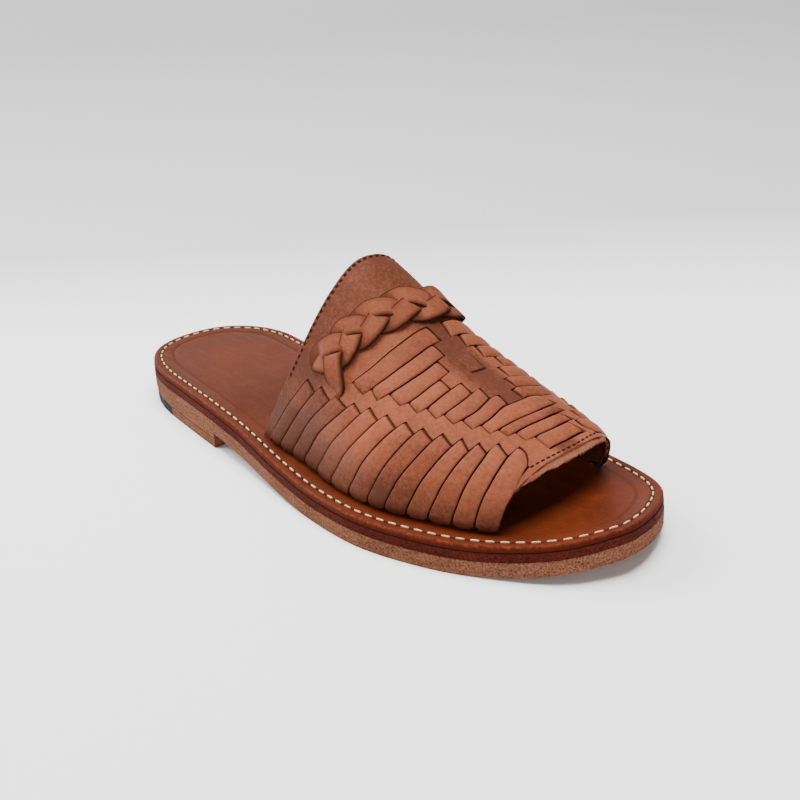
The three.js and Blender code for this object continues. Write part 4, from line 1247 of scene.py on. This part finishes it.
def braid_form():
    """Three flat strands. Each swings from side to side as the cosine of its turn, and lies over or
    under the others as the hyperbolic tangent of a sine of twice the turn, a sine with flat tops."""
    stations, centre, outward, sideways, around = braid_path()
    from_end = np.minimum(stations, stations[-1] - stations)
    turns = braid_thirds(around) / 3
    splay = 1 + BRAID_SPLAY * (1 - smoothstep(from_end, 0, BRAID_SPLAY_LENGTH))
    tuck = BRAID_TUCK * (1 - smoothstep(from_end, 0, BRAID_TUCK_LENGTH)) ** 2
    across, height, raw = strand_profile
    form = Form()
    for strand in range(3):
        phase = 2 * np.pi * (turns + strand / 3)
        swing = BRAID_SWING * splay * np.cos(phase)
        wave = np.tanh(BRAID_STEEPNESS * np.sin(2 * phase)) / np.tanh(BRAID_STEEPNESS)
        lift = BRAID_LIFT * (1 + wave) * smoothstep(from_end, 0, STRAND_WIDTH)
        level = BRAID_ABOVE + STRAND_THICKNESS / 2 + lift - tuck
        line = centre + sideways * swing[:, None] + outward * level[:, None]
        side = np.cross(np.gradient(line, axis=0), outward)
        side /= np.linalg.norm(side, axis=1, keepdims=True)
        grid = line[:, None] + side[:, None] * (across * STRAND_WIDTH / 2)[:, None]
        grid = grid + outward[:, None] * (height * STRAND_THICKNESS / 2)[:, None]
        flat = np.stack(np.broadcast_arrays(across * FLAT_STRAND_HALF, stations[:, None] * MM), -1)
        under_shade = STRAND_UNDER_SHADE * smoothstep(-wave, 0.5, 1)[:, None]
        marks = {
            "raw": np.broadcast_to(raw, grid.shape[:2]),
            "dark": np.maximum(under_shade, smoothstep(np.abs(across), *STRAND_EDGE_SHADE)),
            "tone_and_painted_shade": STRAND_TONE * strand,
        }
        form.add_tube(grid, flat, **marks)
    return form


# Stitches on the vamp
def vamp_seam(along, low, high, spacing):
    """Stitch places along a line at an even share along the vamp."""
    around = np.linspace(low, high, VAMP_SEAM_SAMPLES)
    path = on_vamp(np.full_like(around, along), around, np.full_like(around, VAMP_SEAM_LEVEL))
    points, direction = along_path(path, spacing)
    shares = np.linspace(low, high, len(points))
    up = from_table(outward_table, np.full_like(shares, along), shares)
    return points, direction, up


# Pieces of the sandal, with the angles in degrees past which their edges stay sharp
VAMP_SHARP = 50
KEPT_SHARP = 30

# How the two lower layers of the sole are rounded, in millimetres, at their lower and upper corners
OUTSOLE_ROUNDING = (0.08, 0.2)
MIDSOLE_ROUNDING = (0.15, 0.35)
MIDSOLE_TOP_RAW = 0.9


def dress(piece, slot, *nodes):
    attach(piece, "root")
    if nodes:
        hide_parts(*nodes)


def outsole_under(x):
    """Underside of the outsole layer, which over the heel fills the glue gap to the heel block."""
    return sole_line(x) - GLUE_GAP * (1 - smoothstep(x, HEEL_BREAST - 1, HEEL_BREAST))


def midsole_top(x):
    return midsole_under(x) + MIDSOLE_THICKNESS + GLUE_GAP


def make_sole():
    outsole = plain_layer(outsole_under, midsole_under, 0, *OUTSOLE_ROUNDING)
    dress(outsole.build("outsole_leather_layer", materials["outsole"]), "outsole_leather", "outsole")
    midsole = plain_layer(midsole_under, midsole_top, EDGE_INSET / 2, *MIDSOLE_ROUNDING, MIDSOLE_TOP_RAW)
    dress(midsole.build("midsole_leather_layer", materials["midsole"]), "midsole_leather", "midsole")
    footbed = layer_form(insole_under, footbed_top, FOOTBED_RINGS)
    dress(footbed.build("footbed_leather_layer", materials["footbed"]), "footbed_leather", "insole")


def make_seam():
    """Cream stitches in the footbed's groove, with a dark bead of painted shade for the hole between each
    two.
    """
    points, direction = along_path(seam_path(SEAM_INSET), STITCH_SPACING)
    up = vertical(len(points))
    stitches = Form()
    stitch_size = (STITCH_LENGTH, STITCH_WIDTH, STITCH_HEIGHT)
    add_beads(stitches, points - up * STITCH_SINK, direction, up, stitch_size)
    dress(stitches.build("footbed_stitches", materials["cream_thread"]), "footbed_leather")
    # Painted shade: dark beads stand in for the holes
    holes = Form()
    between = (points + np.roll(points, -1, axis=0)) / 2
    add_beads(holes, between - up * HOLE_SINK, direction, up, HOLE_SIZE, HOLE_SQUARENESS)
    dress(holes.build("footbed_stitch_holes", materials["dark_thread_and_hole_shade"]), "footbed_leather")


def make_vamp():
    dress(sheet_form().build("vamp_leather", materials["strap"], VAMP_SHARP), "strap_leather", "upper")
    dress(strips_form().build("vamp_strips", materials["strap"], VAMP_SHARP), "strap_leather")
    for name, seam in VAMP_SEAMS.items():
        stitches = Form()
        points, direction, up = vamp_seam(seam["along"], *seam["ends"], seam["spacing"])
        add_beads(stitches, points, direction, up, seam["size"], seam["squareness"])
        dress(stitches.build(name, materials["dark_thread_and_hole_shade"]), "strap_leather")


def make_braid():
    braid = braid_form().build("braid_strands", materials["braid"], VAMP_SHARP)
    dress(braid, "braid_leather", "instep_braid")


def finish_kept_nodes():
    """CAD nodes that stay get the look of their leather or rubber."""
    kept = {"heel_block": "outsole", "heel_tip_leather": "outsole", "heel_tip_rubber": "rubber"}
    for name, material in kept.items():
        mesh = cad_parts[name].data
        mesh.materials.clear()
        mesh.materials.append(materials[material])
        mesh.polygons.foreach_set("use_smooth", np.ones(len(mesh.polygons), bool))
        mesh.set_sharp_from_angle(angle=math.radians(KEPT_SHARP))


# Camera: its place in the last's frame, the directions of the picture's right and top, and the lens
# and film width in millimetres
CAMERA_AT = (449.7, -240.0, 202.3)
CAMERA_RIGHT = (0.6481, 0.7593, -0.0578)
CAMERA_UP = (-0.278, 0.3066, 0.9103)
LENS = 51.75
FILM_WIDTH = 36

# Sweep of paper behind the sandal, in metres ahead of the camera's view and up
SWEEP_START = -1.6
SWEEP_BEND = 0.3
SWEEP_RADIUS = 0.35
SWEEP_TOP = 2.2
SWEEP_HALF_WIDTH = 2.5
SWEEP_STEPS = 24

# The paper is painted darker ahead of the sandal and up the wall, a painted shade where less light falls,
# between these metres
PAPER_SHADE_AHEAD = (0.14, 0.31)
PAPER_SHADE_UP = (0, 0.1)

# Softboxes: place and aim in metres, width and height in metres, and power in watts
SOFTBOXES = {
    "back_left_softbox": {
        "place": (-0.8, -0.35, 0.75),
        "aim": (0, 0, 0.03),
        "size": (0.8, 0.7),
        "watts": 19,
    },
    "overhead_softbox": {
        "place": (0.1, 0, 1.2),
        "aim": (0.05, 0, 0),
        "size": (0.7, 0.7),
        "watts": 31.5,
    },
    "front_fill": {
        "place": (1, -0.8, 0.5),
        "aim": (0, 0, 0.03),
        "size": (0.8, 0.6),
        "watts": 5,
    },
}
STUDIO_AIR = 0.22


def make_camera():
    data = bpy.data.cameras.new("photo_camera")
    data.lens = LENS
    data.sensor_width = FILM_WIDTH
    camera = bpy.data.objects.new("photo_camera", data)
    right = np.array(CAMERA_RIGHT) / np.linalg.norm(CAMERA_RIGHT)
    up = np.array(CAMERA_UP) - right * np.dot(right, CAMERA_UP)
    up /= np.linalg.norm(up)
    matrix = np.eye(4)
    matrix[:3, 0] = right
    matrix[:3, 1] = up
    matrix[:3, 2] = np.cross(right, up)
    matrix[:3, 3] = to_row(CAMERA_AT)
    camera.matrix_world = Matrix(matrix.tolist())
    bpy.context.scene.collection.objects.link(camera)
    bpy.context.scene.camera = camera


def make_sweep():
    """Floor that bends up by a quarter circle into a wall behind the sandal, square to the view. Its paper
    darkens ahead and up the wall as painted shade.
    """
    ahead = np.cross(CAMERA_UP, CAMERA_RIGHT)[:2]
    ahead /= np.linalg.norm(ahead)
    side = np.array([ahead[1], -ahead[0]])
    angle = np.linspace(0, np.pi / 2, SWEEP_STEPS)
    bend = SWEEP_BEND + SWEEP_RADIUS * np.sin(angle)
    reach = np.concatenate([[SWEEP_START], bend, [SWEEP_BEND + SWEEP_RADIUS]])
    height = np.concatenate([[0], SWEEP_RADIUS * (1 - np.cos(angle)), [SWEEP_TOP]])
    width = np.array([-SWEEP_HALF_WIDTH, SWEEP_HALF_WIDTH])
    flat = reach[:, None, None] * ahead + width[None, :, None] * side
    points = np.concatenate([flat, np.broadcast_to(height[:, None, None], (len(reach), 2, 1))], -1)
    mesh = bpy.data.meshes.new("studio_sweep")
    mesh.from_pydata(points.reshape(-1, 3).tolist(), [], grid_faces(len(reach), 2).tolist())
    mesh.polygons.foreach_set("use_smooth", np.ones(len(mesh.polygons), bool))
    finish = Finish("studio_paper", Roughness=0.9, Specular_IOR_Level=0.1)
    away = {0: finish.coordinates, 1: (ahead[0], ahead[1], 0)}
    distance = finish.new("ShaderNodeVectorMath", away, operation="DOT_PRODUCT").outputs["Value"]
    height_at = finish.new("ShaderNodeSeparateXYZ", {"Vector": finish.coordinates}).outputs["Z"]
    # Painted shade: the paper greys away from the sandal and darkens further up the wall
    paper = finish.mixed(finish.ranged(distance, *PAPER_SHADE_AHEAD), hue("fafafa"), hue("c9c9c9"))
    paper = finish.mixed(finish.ranged(height_at, *PAPER_SHADE_UP), paper, hue("a6a6a6"))
    mesh.materials.append(finish.connect(Base_Color=paper))
    sweep = bpy.data.objects.new("studio_sweep", mesh)
    bpy.context.scene.collection.objects.link(sweep)


def add_softbox(name, place, aim, size, watts):
    data = bpy.data.lights.new(name, "AREA")
    data.shape = "RECTANGLE"
    data.size, data.size_y = size
    data.energy = watts
    light = bpy.data.objects.new(name, data)
    back = np.array(place, float) - np.array(aim, float)
    back /= np.linalg.norm(back)
    right = np.cross([0, 0, 1], back)
    right /= np.linalg.norm(right)
    matrix = np.eye(4)
    matrix[:3, 0] = right
    matrix[:3, 1] = np.cross(back, right)
    matrix[:3, 2] = back
    matrix[:3, 3] = place
    light.matrix_world = Matrix(matrix.tolist())
    bpy.context.scene.collection.objects.link(light)


def make_lights():
    for name, softbox in SOFTBOXES.items():
        add_softbox(name, **softbox)
    world = bpy.data.worlds.new("studio_air")
    world.use_nodes = True
    background = world.node_tree.nodes["Background"]
    background.inputs["Color"].default_value = (1, 1, 1, 1)
    background.inputs["Strength"].default_value = STUDIO_AIR
    bpy.context.scene.world = world


make_sole()
make_seam()
make_vamp()
make_braid()
finish_kept_nodes()
make_camera()
make_sweep()
make_lights()
